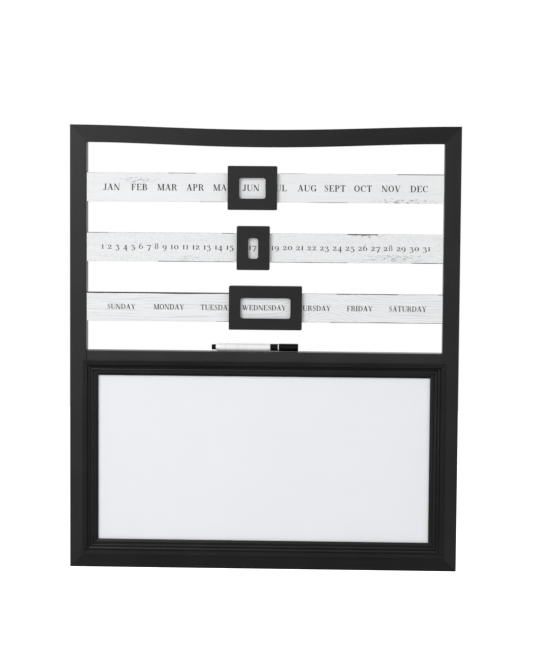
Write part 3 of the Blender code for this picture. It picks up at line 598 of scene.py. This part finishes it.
# Each slat's print: the share of its growth rings, the middle of their arch, its worn patches
# (middle, reach, amount), its speckle, and the stretches where black shows along its edges
# (start, end, upper edge 1 or lower edge -1, width in millimetres).
SLAT_PRINTS = {
    "month": (0.0, 0.0, [
        ((-0.200, 0, 0.2790), (0.042, 1, 0.007), 0.6),
        ((0.215, 0, 0.2475), (0.06, 1, 0.006), 0.9),
    ], 0.08, [
        (-0.290, -0.262, 1, 1.0), (-0.154, -0.105, 1, 0.8), (0.021, 0.066, 1, 1.0),
        (0.202, 0.290, 1, 1.2), (-0.105, -0.060, -1, 0.9), (0.063, 0.132, -1, 0.9),
    ]),
    "date": (0.0, 0.0, [
        ((0.155, 0, 0.1945), (0.035, 1, 0.006), 0.9),
        ((0.211, 0, 0.1585), (0.07, 1, 0.007), 0.8),
        ((-0.117, 0, 0.157), (0.02, 1, 0.005), 0.7),
    ], 0.30, [
        (-0.290, -0.240, 1, 1.0), (-0.070, -0.045, 1, 0.8), (0.126, 0.180, 1, 1.4),
        (-0.170, -0.045, -1, 1.0), (0.007, 0.132, -1, 1.1), (0.226, 0.290, -1, 1.1),
    ]),
    "weekday": (0.55, 0.10, [], 0.03, [
        (-0.290, 0.0, 1, 2.0), (0.110, 0.212, 1, 1.1), (0.268, 0.290, 1, 0.9),
        (-0.080, 0.0, -1, 0.9), (0.101, 0.290, -1, 1.1),
    ]),
}


def finish(node_names, material):
    """Gives these nodes their material."""
    for name in node_names:
        NODES[name].data.materials.clear()
        NODES[name].data.materials.append(material)


def named(*starts):
    """The nodes whose names start with any of these words."""
    return [name for name in sorted(NODES) if name.startswith(starts)]


def plain_screws():
    return [name for name in sorted(NODES) if "_screw_" in name]


def dress_nodes():
    """Puts a finish on every solid."""
    for *paint, node_names in PAINTED:
        finish(node_names, satin_paint(*paint))
    for word in SLIDER_WORDS:
        finish([f"{word}_slat"], slat_finish(word, *SLAT_PRINTS[word]))
    finish([f"{word}_slider_back" for word in SLIDER_WORDS], black_hardboard())
    finish(["dry_erase_panel"], dry_erase_melamine())
    finish(named("dowel"), bare_beech())
    finish(named("v_nail", "hanger", "flex_point") + plain_screws(), ZINC)
    finish(["marker_end_plug", "marker_collar", "marker_cap"], BLACK_PLASTIC)
    finish(["marker_barrel"], WHITE_PLASTIC)
    finish(["marker_nib"], pressed_fibre("Black felt", grey(0.02)))
    finish(["marker_ink_reservoir"], pressed_fibre("Ink wadding", (0.16, 0.15, 0.14, 1)))


# Lettering: a high-contrast roman, drawn in units of the capital height.
STEM = 0.17
HAIR = 0.06
SERIF = 0.045
OVERHANG = 0.075
BRACKET = 0.04
LETTER_MIDDLE = 0.36


def arc(middle, radii, start, end, steps=10):
    """Points on an ellipse between two angles in degrees."""
    angles = [math.radians(start + (end - start) * step / steps) for step in range(steps + 1)]
    return [(middle[0] + radii[0] * math.cos(angle), middle[1] + radii[1] * math.sin(angle))
            for angle in angles]


def bar(x_low, x_high, y_low, y_high):
    return [(x_low, y_low), (x_high, y_low), (x_high, y_high), (x_low, y_high)]


def slant(x_foot, x_head, width, foot=0.0, head=1.0):
    """A leaning stroke with level ends."""
    return [(x_foot, foot), (x_foot + width, foot), (x_head + width, head), (x_head, head)]


def bowl(middle, radii, side, thick=STEM, thin=HAIR):
    """Half a ring, open to one side: thick at its outermost point and a hairline at its ends."""
    turn = 0 if side > 0 else 180
    inner = (radii[0] - thick, radii[1] - thin)
    return arc(middle, radii, turn - 90, turn + 90) + arc(middle, inner, turn + 90, turn - 90)


def foot(x_middle, y, way, half=0.13):
    """A slab serif on the baseline (way 1) or hanging from the top line (way -1)."""
    return bar(x_middle - half, x_middle + half, *sorted((y, y + way * SERIF)))


def stem(x, width=STEM, low=0.0, high=1.0, feet=(True, True)):
    """An upright stroke with bracketed slab serifs."""
    shapes = [bar(x, x + width, low, high)]
    for wanted, y, way in ((feet[0], low, 1), (feet[1], high, -1)):
        if wanted:
            slab, joined = y + way * SERIF, y + way * (SERIF + BRACKET)
            left, right = x - OVERHANG, x + width + OVERHANG
            shapes.append([(left, y), (right, y), (right, slab), (x + width, joined),
                           (x, joined), (left, slab)])
    return shapes


def beak(x, y, way, height=0.26, reach=0.15):
    """The pointed serif at the end of an arm, towards the letter's middle."""
    inner = x - math.copysign(reach, x - LETTER_MIDDLE)
    return [(x, y), (x, y + way * height), (inner, y + way * HAIR * 0.8), (inner, y)]


def ball(middle, radius=0.085):
    return arc(middle, (radius, radius), 0, 330, 11)


def ribbon(points, steps=5):
    """A stroke along a smooth curve. Each point is x, y and the stroke's width there."""
    knots = [Vector(point) for point in points]
    knots = [2 * knots[0] - knots[1], *knots, 2 * knots[-1] - knots[-2]]
    line = []
    for before, start, end, after in zip(knots, knots[1:], knots[2:], knots[3:]):
        for step in range(steps):
            t = step / steps
            line.append(0.5 * (2 * start + (end - before) * t
                               + (2 * before - 5 * start + 4 * end - after) * t ** 2
                               + (3 * start - before - 3 * end + after) * t ** 3))
    line.append(knots[-2])
    left, right = [], []
    for index, spot in enumerate(line):
        ahead = line[min(index + 1, len(line) - 1)] - line[max(index - 1, 0)]
        across = Vector((-ahead.y, ahead.x)).normalized() * spot.z / 2
        left.append((spot.x + across.x, spot.y + across.y))
        right.append((spot.x - across.x, spot.y - across.y))
    return left + right[::-1]


def half_round(x, y_low, y_high, reach):
    """A bowl on the right of a stem, joined to it by two hairlines."""
    middle = (x + STEM + 0.12, (y_low + y_high) / 2)
    radii = (reach - middle[0], (y_high - y_low) / 2)
    joins = [bar(x + STEM - 0.02, middle[0], y, y + HAIR) for y in (y_low, y_high - HAIR)]
    return [bowl(middle, radii, 1), *joins]


def open_round():
    """The left bowl that C and G share, with its upper beak."""
    upper = ribbon([(0.44, 0.978, HAIR), (0.58, 0.94, 0.06), (0.68, 0.82, 0.09)])
    point = [(0.735, 0.99), (0.735, 0.66), (0.705, 0.66), (0.60, 0.90)]
    return [bowl((0.44, 0.5), (0.40, 0.5), -1), upper, point]


CAPITALS = {
    "A": (0.86, [slant(0.10, 0.405, 0.06), slant(0.60, 0.33, STEM + 0.01),
                 bar(0.2, 0.66, 0.30, 0.30 + HAIR), foot(0.13, 0, 1, 0.11),
                 foot(0.68, 0, 1, 0.15)]),
    "B": (0.76, [*stem(0.11), *half_round(0.11, 0.49, 1.0, 0.64),
                 *half_round(0.11, 0.0, 0.54, 0.71)]),
    "C": (0.80, [*open_round(),
                 ribbon([(0.44, 0.022, HAIR), (0.60, 0.06, 0.05), (0.74, 0.22, 0.04)])]),
    "D": (0.86, [*stem(0.11), *half_round(0.11, 0.0, 1.0, 0.82)]),
    "E": (0.74, [*stem(0.11), bar(0.2, 0.66, 1 - HAIR, 1), beak(0.66, 1, -1),
                 bar(0.2, 0.5, 0.49, 0.49 + HAIR), bar(0.47, 0.51, 0.38, 0.65),
                 bar(0.2, 0.69, 0, HAIR), beak(0.70, 0, 1, 0.3)]),
    "F": (0.70, [*stem(0.11), bar(0.2, 0.65, 1 - HAIR, 1), beak(0.65, 1, -1),
                 bar(0.2, 0.5, 0.48, 0.48 + HAIR), bar(0.47, 0.51, 0.37, 0.64)]),
    "G": (0.84, [*open_round(), *stem(0.60, low=0.06, high=0.42, feet=(False, True)),
                 ribbon([(0.44, 0.022, HAIR), (0.58, 0.04, 0.06), (0.68, 0.12, 0.09)])]),
    "H": (0.88, [*stem(0.11), *stem(0.615), bar(0.2, 0.7, 0.48, 0.48 + HAIR)]),
    "I": (0.38, stem(0.11)),
    "J": (0.54, [*stem(0.27, low=0.3, feet=(False, True)), ball((0.10, 0.10)),
                 ribbon([(0.27 + STEM / 2, 0.32, STEM), (0.34, 0.12, 0.14), (0.24, 0.01, 0.07),
                         (0.10, 0.03, 0.05)])]),
    "L": (0.70, [*stem(0.11), bar(0.2, 0.66, 0, HAIR), beak(0.67, 0, 1, 0.3)]),
    "M": (1.02, [*stem(0.12, HAIR), slant(0.42, 0.10, STEM), slant(0.49, 0.80, HAIR),
                 *stem(0.77)]),
    "N": (0.88, [*stem(0.12, HAIR), slant(0.60, 0.06, STEM + 0.01),
                 *stem(0.715, HAIR, feet=(False, True))]),
    "O": (0.86, [bowl((0.43, 0.5), (0.39, 0.5), -1), bowl((0.43, 0.5), (0.39, 0.5), 1)]),
    "P": (0.72, [*stem(0.11), *half_round(0.11, 0.45, 1.0, 0.68)]),
    "R": (0.82, [*stem(0.11), *half_round(0.11, 0.48, 1.0, 0.67),
                 ribbon([(0.42, 0.5, 0.06), (0.56, 0.36, 0.15), (0.62, 0.10, 0.14),
                         (0.74, 0.02, 0.06), (0.80, 0.08, 0.04)])]),
    "S": (0.62, [ribbon([(0.50, 0.80, 0.06), (0.40, 0.95, 0.05), (0.26, 0.965, 0.05),
                         (0.13, 0.82, 0.09), (0.22, 0.62, 0.15), (0.42, 0.44, 0.16),
                         (0.50, 0.20, 0.10), (0.36, 0.03, 0.05), (0.20, 0.04, 0.05),
                         (0.10, 0.20, 0.06)]),
                 bar(0.48, 0.52, 0.70, 0.99), bar(0.07, 0.11, 0.01, 0.30)]),
    "T": (0.78, [*stem(0.31, feet=(True, False)), bar(0.05, 0.73, 1 - HAIR, 1),
                 beak(0.73, 1, -1), beak(0.045, 1, -1)]),
    "U": (0.86, [*stem(0.11, low=0.3, feet=(False, True)),
                 *stem(0.70, HAIR, low=0.3, feet=(False, True)),
                 ribbon([(0.11 + STEM / 2, 0.34, STEM), (0.22, 0.14, 0.15), (0.34, 0.035, 0.08),
                         (0.52, 0.035, HAIR), (0.68, 0.14, HAIR), (0.70 + HAIR / 2, 0.34, HAIR)])]),
    "V": (0.84, [slant(0.32, 0.06, STEM), slant(0.40, 0.69, 0.055), foot(0.15, 1, -1, 0.15),
                 foot(0.71, 1, -1, 0.12)]),
    "W": (1.18, [slant(0.30, 0.06, STEM), slant(0.37, 0.58, 0.055), slant(0.66, 0.44, STEM),
                 slant(0.74, 1.02, 0.055), foot(0.14, 1, -1, 0.14), foot(0.54, 1, -1, 0.14),
                 foot(1.05, 1, -1, 0.11)]),
    "Y": (0.82, [slant(0.34, 0.05, STEM, 0.42), slant(0.40, 0.68, 0.055, 0.42),
                 foot(0.14, 1, -1, 0.14), foot(0.70, 1, -1, 0.11),
                 *stem(0.34, low=0.0, high=0.46, feet=(True, False))]),
}

# Old-style figures, in units of their own short height: some rise above it and some hang below.
FIGURES = {
    "0": (0.98, [bowl((0.48, 0.5), (0.42, 0.5), side, 0.2, 0.07) for side in (-1, 1)]),
    "1": (0.60, stem(0.20, 0.2)),
    "2": (0.86, [ball((0.19, 0.74), 0.1),
                 ribbon([(0.12, 0.78, 0.05), (0.26, 0.96, 0.07), (0.5, 0.92, 0.12),
                         (0.62, 0.7, 0.19), (0.42, 0.38, 0.12), (0.1, 0.06, 0.07)]),
                 bar(0.06, 0.76, 0, 0.15), bar(0.73, 0.78, 0.0, 0.3)]),
    "3": (0.86, [ball((0.18, 0.8), 0.09), ball((0.17, -0.24), 0.1),
                 ribbon([(0.12, 0.84, 0.05), (0.28, 0.97, 0.07), (0.52, 0.92, 0.13),
                         (0.58, 0.7, 0.17), (0.32, 0.46, 0.05)]),
                 ribbon([(0.32, 0.46, 0.05), (0.62, 0.34, 0.15), (0.68, 0.0, 0.2),
                         (0.5, -0.32, 0.1), (0.26, -0.38, 0.05), (0.1, -0.27, 0.05)])]),
    "4": (0.90, [slant(0.04, 0.56, 0.07, 0.02), bar(0.05, 0.84, -0.02, 0.1),
                 *stem(0.5, 0.2, -0.42, 0.98, (True, False))]),
    "5": (0.84, [bar(0.2, 0.7, 0.82, 0.99), bar(0.18, 0.24, 0.42, 0.98), ball((0.17, -0.24), 0.1),
                 ribbon([(0.2, 0.46, 0.05), (0.42, 0.5, 0.12), (0.66, 0.32, 0.18),
                         (0.68, -0.02, 0.2), (0.48, -0.32, 0.1), (0.26, -0.38, 0.05),
                         (0.1, -0.27, 0.05)])]),
    "6": (0.92, [*[bowl((0.46, 0.42), (0.38, 0.42), side, 0.18, 0.06) for side in (1, -1)],
                 ribbon([(0.16, 0.5, 0.16), (0.22, 0.92, 0.16), (0.42, 1.24, 0.1),
                         (0.74, 1.44, 0.05)])]),
    "7": (0.84, [bar(0.08, 0.8, 0.82, 0.98), bar(0.06, 0.11, 0.7, 0.98),
                 slant(0.26, 0.7, 0.12, -0.42, 0.9), slant(0.22, 0.5, 0.2, -0.42, 0.3)]),
    "8": (0.90, [*[bowl((0.44, 0.37), (0.36, 0.39), side, 0.17, 0.06) for side in (-1, 1)],
                 *[bowl((0.44, 1.08), (0.30, 0.36), side, 0.14, 0.06) for side in (-1, 1)]]),
    "9": (0.92, [*[bowl((0.44, 0.56), (0.38, 0.42), side, 0.18, 0.06) for side in (1, -1)],
                 ribbon([(0.74, 0.5, 0.16), (0.68, 0.06, 0.16), (0.48, -0.26, 0.1),
                         (0.16, -0.44, 0.05)])]),
}


def set_word(text, letters, height, stretch, tracking):
    """The outlines of a word from its left end on the baseline, and its width.
    The letters are widened by the stretch."""
    outlines, x, across = [], 0.0, height * stretch
    for letter in text:
        width, shapes = letters[letter]
        outlines.append([[((x + px) * across, py * height) for px, py in shape]
                         for shape in shapes])
        x += width + tracking
    return outlines, (x - tracking) * across


def turned_left(shape):
    """The outline, running anticlockwise."""
    doubled = sum(a[0] * b[1] - b[0] * a[1] for a, b in zip(shape, shape[1:] + shape[:1]))
    return shape if doubled > 0 else shape[::-1]


def lay_glyph(bm, shapes, x, z, y):
    """Adds a letter's front face: its strokes joined into one flat shape."""
    corners, faces = [], []
    for shape in map(turned_left, shapes):
        faces.append(list(range(len(corners), len(corners) + len(shape))))
        corners += [Vector(corner) for corner in shape]
    points, _, triangles, _, _, covered = delaunay_2d_cdt(corners, [], faces, 1, WELD_DISTANCE)
    made = [bm.verts.new((x + point.x, y, z + point.y)) for point in points]
    for triangle, under in zip(triangles, covered):
        if under:
            bm.faces.new([made[index] for index in triangle])
    loose = [corner for corner in made if not corner.link_faces]
    bmesh.ops.delete(bm, geom=loose, context="VERTS")


def made_object(name, bm):
    """An object in the scene from a finished bmesh."""
    mesh = bpy.data.meshes.new(name)
    bm.to_mesh(mesh)
    bm.free()
    made = bpy.data.objects.new(name, mesh)
    SCENE.collection.objects.link(made)
    return made


def smoothed(mesh):
    """Rounds the mesh's shading everywhere but on its sharp edges."""
    mesh.shade_smooth()
    mesh.set_sharp_from_angle(angle=SHARP_ANGLE)


def new_piece(name, bm, material, body):
    """A finished piece: its mesh, its material and the body it rides on."""
    piece = made_object(name, bm)
    piece.data.materials.append(material)
    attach(piece, body)
    return piece


def print_slat(word, settings, baseline):
    """The lettering of one slat. Each setting is a word's outlines and its left end."""
    low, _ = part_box(f"{word}_slat")
    front = low.y - INK_THICKNESS + INK_SUNK
    bm = bmesh.new()
    for outlines, x in settings:
        for shapes in outlines:
            lay_glyph(bm, shapes, x, baseline, front)
    flat = bm.faces[:]
    grown = bmesh.ops.extrude_face_region(bm, geom=flat, use_keep_orig=True)["geom"]
    sunk = [corner for corner in grown if isinstance(corner, bmesh.types.BMVert)]
    bmesh.ops.translate(bm, verts=sunk, vec=(0, INK_THICKNESS, 0))
    bmesh.ops.recalc_face_normals(bm, faces=bm.faces[:])
    new_piece(f"{word}_lettering", bm, INK, "board")


def slat_middle(word):
    low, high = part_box(f"{word}_slat")
    return (low.z + high.z) / 2


def print_row(word, texts, pitch, caps, stretch, tracking):
    """Words centred at even steps along a slat."""
    settings = []
    for order, text in enumerate(texts):
        outlines, width = set_word(text, CAPITALS, caps, stretch, tracking)
        middle = (order - (len(texts) - 1) / 2) * pitch
        settings.append((outlines, middle - width / 2))
    print_slat(word, settings, slat_middle(word) - caps / 2)


def print_dates():
    """Numbers with even gaps between them, from one end of the row to the other."""
    words = [set_word(text, FIGURES, DATE_FIGURES, FIGURES_STRETCH, FIGURES_TRACKING)
             for text in DATES]
    gap = (DATES_END - DATES_START - sum(width for _, width in words)) / (len(words) - 1)
    settings, x = [], DATES_START
    for outlines, width in words:
        settings.append((outlines, x))
        x += width + gap
    print_slat("date", settings, slat_middle("date") - DATE_FIGURES / 2)


# Small hardware

SCREW_HEAD = 2.7 * MM
SCREW_HEAD_HEIGHT = 1.6 * MM
SCREW_RIM = 0.15 * MM
SCREW_SHANK = 1.4 * MM
SCREW_LENGTH = 12 * MM
SCREW_TURN = 37  # degrees from one screw's recess to the next one's
RECESS_REACH = 1.55 * MM
RECESS_HALF_WIDTH = 0.36 * MM
RECESS_DEPTH = 1.2 * MM
RECESS_CLEARANCE = 0.3 * MM
RECESS_FOOT = (0.35, 0.6)  # the share of its reach and of its width that the recess keeps


def spun(bm, profile, steps=32):
    """A solid turned about the Y axis from (radius, y) points that start and end on it."""
    rings = []
    for radius, y in profile:
        if radius == 0:
            rings.append([bm.verts.new((0, y, 0))] * steps)
            continue
        angles = [2 * math.pi * step / steps for step in range(steps)]
        rings.append([bm.verts.new((radius * math.cos(angle), y, radius * math.sin(angle)))
                      for angle in angles])
    for upper, lower in zip(rings, rings[1:]):
        for step in range(steps):
            after = (step + 1) % steps
            corners = [upper[step], upper[after], lower[after], lower[step]]
            bm.faces.new(list(dict.fromkeys(corners)))
    bmesh.ops.recalc_face_normals(bm, faces=bm.faces[:])


def cross_recess():
    """The driver's cross as a cutter: two crossed wedges that narrow with depth."""
    bm = bmesh.new()
    for turn in (0, math.pi / 2):
        made = bmesh.ops.create_cube(bm, size=1.0)["verts"]
        for corner in made:
            deep = corner.co.y < 0
            reach_kept, width_kept = RECESS_FOOT if deep else (1.0, 1.0)
            depth = -RECESS_DEPTH if deep else RECESS_CLEARANCE
            corner.co = (2 * corner.co.x * RECESS_REACH * reach_kept, depth,
                         2 * corner.co.z * RECESS_HALF_WIDTH * width_kept)
        bmesh.ops.rotate(bm, verts=made, cent=(0, 0, 0), matrix=Matrix.Rotation(turn, 3, "Y"))
    return made_object("cross_recess_cutter", bm)


def cross_head_screw():
    """The mesh of a countersunk screw whose head faces +Y at the origin."""
    profile = [(0, 0), (SCREW_HEAD - SCREW_RIM, 0), (SCREW_HEAD, -SCREW_RIM),
               (SCREW_SHANK, -SCREW_HEAD_HEIGHT), (SCREW_SHANK, 2 * SCREW_SHANK - SCREW_LENGTH),
               (0, -SCREW_LENGTH)]
    bm = bmesh.new()
    spun(bm, profile)
    screw = made_object("screw_blank", bm)
    cutter = cross_recess()
    cut = screw.modifiers.new("Recess", "BOOLEAN")
    cut.operation = "DIFFERENCE"
    cut.use_self = True
    cut.object = cutter
    depsgraph = bpy.context.evaluated_depsgraph_get()
    mesh = bpy.data.meshes.new_from_object(screw.evaluated_get(depsgraph))
    for helper in (screw, cutter):
        bpy.data.objects.remove(helper)
    mesh.name = "cross_head_screw"
    mesh.materials.clear()
    mesh.materials.append(ZINC)
    smoothed(mesh)
    return mesh


def fit_screws():
    """Stands a cross-head screw in place of each plain one."""
    mesh = cross_head_screw()
    for count, name in enumerate(plain_screws()):
        low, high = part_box(name)
        piece = bpy.data.objects.new(name.replace("screw", "cross_head_screw"), mesh)
        SCENE.collection.objects.link(piece)
        middle = (low + high) / 2
        piece.location = (middle.x, high.y, middle.z)
        piece.rotation_euler = (0, math.radians(SCREW_TURN * count), 0)
        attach(piece, "board" if name.startswith("hanger") else name.split("_screw")[0])
        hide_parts(name)


# Paint in the frame's joints. The calendar's opening ends at this height in its corners.
CALENDAR_TOP = 336.7 * MM
JOINT_WIDTH = 0.28 * MM
RAIL_GAP = 0.15 * MM
JOINT_SET_BACK = 0.01 * MM
FILL_DEPTH = 12 * MM
EASED_EDGE = 1.3 * MM


def fill_joint(bm, start, end, front, back):
    """A thin upright web of paint between two points of a joint, seen from the front."""
    along = (end - start).normalized()
    start, end = start + along * EASED_EDGE, end - along * EASED_EDGE
    across = Vector((-along.z, 0, along.x)) * JOINT_WIDTH / 2
    corners = []
    for spot in (start - across, end - across, end + across, start + across):
        corners += [bm.verts.new((spot.x, y, spot.z)) for y in (front, back)]
    near, far = corners[0::2], corners[1::2]
    bm.faces.new(near)
    bm.faces.new(far[::-1])
    for index in range(4):
        after = (index + 1) % 4
        bm.faces.new([near[index], far[index], far[after], near[after]])


def paint_over_joints():
    """Paint that fills the frame's mitres and the butt joints of its middle rail."""
    stiles = {"left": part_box("left_stile"), "right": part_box("right_stile")}
    rail_low, rail_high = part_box("middle_rail")
    opening = {"left": stiles["left"][1].x, "right": stiles["right"][0].x}
    top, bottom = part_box("top_rail")[1].z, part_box("bottom_rail")[0].z
    for side, (low, high) in stiles.items():
        outside = low.x if side == "left" else high.x
        inside = opening[side]
        joint = inside + (RAIL_GAP if side == "left" else -RAIL_GAP)
        corner = bottom + abs(inside - outside)
        front = low.y + JOINT_SET_BACK
        bm = bmesh.new()
        for start, end in (((outside, 0, top), (inside, 0, CALENDAR_TOP)),
                           ((outside, 0, bottom), (inside, 0, corner)),
                           ((joint, 0, rail_low.z), (joint, 0, rail_high.z))):
            fill_joint(bm, Vector(start), Vector(end), front, front + FILL_DEPTH)
        bmesh.ops.recalc_face_normals(bm, faces=bm.faces[:])
        new_piece(f"{side}_joint_paint", bm, JOINT_PAINT, "board")


RING_WIDTH = 1.3 * MM
RING_THICKNESS = 0.4 * MM
RING_EASED = 0.1 * MM
RING_UNDER_CAP = 0.3 * MM
RING_GAP = 0.15 * MM


def add_marker_ring():
    """A pale ring between the marker's collar and its cap: a painted highlight, standing in for the
    light that the cap's rim catches.
    """
    cap_low, cap_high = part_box("marker_cap")
    axis = (cap_low + cap_high) / 2
    outer = (cap_high.z - cap_low.z) / 2 - RING_UNDER_CAP
    inner, eased = outer - RING_THICKNESS, outer - RING_EASED
    profile = [(inner, 0), (eased, 0), (outer, -RING_EASED), (outer, RING_EASED - RING_WIDTH),
               (eased, -RING_WIDTH), (inner, -RING_WIDTH), (inner, 0)]
    bm = bmesh.new()
    spun(bm, profile, 48)
    bmesh.ops.remove_doubles(bm, verts=bm.verts[:], dist=WELD_DISTANCE)
    bmesh.ops.recalc_face_normals(bm, faces=bm.faces[:])
    to_marker = Matrix.Rotation(-math.pi / 2, 3, "Z")
    bmesh.ops.rotate(bm, verts=bm.verts[:], cent=(0, 0, 0), matrix=to_marker)
    bmesh.ops.translate(bm, verts=bm.verts[:], vec=(cap_low.x - RING_GAP, axis.y, axis.z))
    # White plastic here paints the highlight on the cap's rim.
    smoothed(new_piece("marker_highlight_ring", bm, WHITE_PLASTIC, "board").data)


# Studio

def place_camera():
    """Stands the camera where the photograph was taken from."""
    yaw, pitch, roll = (math.radians(angle) for angle in (CAMERA_YAW, CAMERA_PITCH, CAMERA_ROLL))
    level = Vector((math.cos(yaw), -math.sin(yaw), 0))
    ahead = Vector((math.sin(yaw) * math.cos(pitch), math.cos(yaw) * math.cos(pitch),
                    math.sin(pitch)))
    above = level.cross(ahead)
    right = math.cos(roll) * level + math.sin(roll) * above
    up = -math.sin(roll) * level + math.cos(roll) * above
    data = bpy.data.cameras.new("camera")
    data.sensor_width = SENSOR_WIDTH
    data.lens = CAMERA_FOCAL_PIXELS * SENSOR_WIDTH / PHOTO_LONG_SIDE
    data.clip_end = CAMERA_REACH
    camera = bpy.data.objects.new("camera", data)
    turn = Matrix((right, up, -ahead)).transposed().to_4x4()
    camera.matrix_world = Matrix.Translation(CAMERA_PLACE) @ turn
    SCENE.collection.objects.link(camera)
    SCENE.camera = camera


def place_lamp(name, place, size, power):
    """A square soft box that faces the board."""
    data = bpy.data.lights.new(name, "AREA")
    data.size = size
    data.energy = power
    lamp = bpy.data.objects.new(name, data)
    lamp.location = place
    lamp.rotation_euler = (-Vector(place)).to_track_quat("-Z", "Y").to_euler()
    SCENE.collection.objects.link(lamp)


def studio_rays(tree, behind):
    """Two masks. The first is 1 for rays that meet the white setting: from the camera, through
    glass, and of gloss where it looks behind the board. The second is 1 for gloss that looks
    in front of the board, at the dim side of the studio."""
    path = node(tree, "ShaderNodeLightPath")
    camera, glass = path.outputs["Is Camera Ray"], path.outputs["Is Transmission Ray"]
    gloss = path.outputs["Is Glossy Ray"]
    seen = maths(tree, "MAXIMUM", camera, glass)
    white = maths(tree, "MAXIMUM", seen, times(tree, gloss, behind))
    front = times(tree, gloss, maths(tree, "SUBTRACT", 1.0, behind))
    return white, front


def light_room():
    """A white setting for the eye, with a softer glow for the light that falls on the board.
    In front of the board gloss sees a room that is pale above, palest on the right, and dark
    below."""
    world = bpy.data.worlds.new("studio")
    world.use_nodes = True
    tree = world.node_tree
    tree.nodes.clear()
    way = node(tree, "ShaderNodeTexCoord").outputs["Generated"]
    white, front = studio_rays(tree, spread(tree, along(tree, way, "Y"), 0.1, 0.5))
    above = spread(tree, along(tree, way, "Z"), -0.2, 0.05, 0.0, CEILING_GLOW_IN_GLOSS)
    right = spread(tree, along(tree, way, "X"), 0.05, 0.35, 1.0, 2.0)
    others = maths(tree, "SUBTRACT", maths(tree, "SUBTRACT", 1.0, white), front)
    in_gloss = times(tree, front, times(tree, above, right))
    glow = maths(tree, "MULTIPLY_ADD", others, ROOM_GLOW, in_gloss)
    sockets = {"Color": blended(tree, white, ROOM_TINT, WHITE),
               "Strength": maths(tree, "ADD", white, glow)}
    background = node(tree, "ShaderNodeBackground", sockets)
    output = node(tree, "ShaderNodeOutputWorld")
    tree.links.new(background.outputs[0], output.inputs["Surface"])
    SCENE.world = world


def lay_floor():
    """A pale floor, well below the hanging board, that shows as white and keeps the board's shadow.
    It glows more for the eye where it runs out of the lamps' reach."""
    material, tree, shader = new_material("Pale floor", Roughness=0.9, Specular_IOR_Level=0.1)
    shader.inputs["Emission Color"].default_value = WHITE
    place = here(tree)
    white, front = studio_rays(tree, spread(tree, along(tree, place, "Y"), -0.4, 0.4))
    tree.links.new(blended(tree, front, grey(0.86), grey(0.05)), shader.inputs["Base Color"])
    glow = spread(tree, vectors(tree, "LENGTH", place), 0.7, 2.0, 0.4, 0.95)
    tree.links.new(times(tree, white, glow), shader.inputs["Emission Strength"])
    bm = bmesh.new()
    bmesh.ops.create_grid(bm, x_segments=1, y_segments=1, size=FLOOR_SIZE / 2)
    floor = made_object("floor", bm)
    floor.location.z = SOLID_BOX[0].z - FLOOR_DROP
    floor.data.materials.append(material)


SCENE.view_settings.view_transform = "Standard"
place_camera()
place_lamp("key_lamp", KEY_PLACE, KEY_SIZE, KEY_POWER)
place_lamp("fill_lamp", FILL_PLACE, FILL_SIZE, FILL_POWER)
place_lamp("back_lamp", BACK_LAMP_PLACE, FILL_SIZE, BACK_LAMP_POWER)
light_room()
lay_floor()
dress_nodes()
print_row("month", MONTHS, MONTH_PITCH, MONTH_CAPS, MONTH_STRETCH, MONTH_TRACKING)
print_dates()
print_row("weekday", WEEKDAYS, WEEKDAY_PITCH, WEEKDAY_CAPS, WEEKDAY_STRETCH, WEEKDAY_TRACKING)
fit_screws()
paint_over_joints()
add_marker_ring()
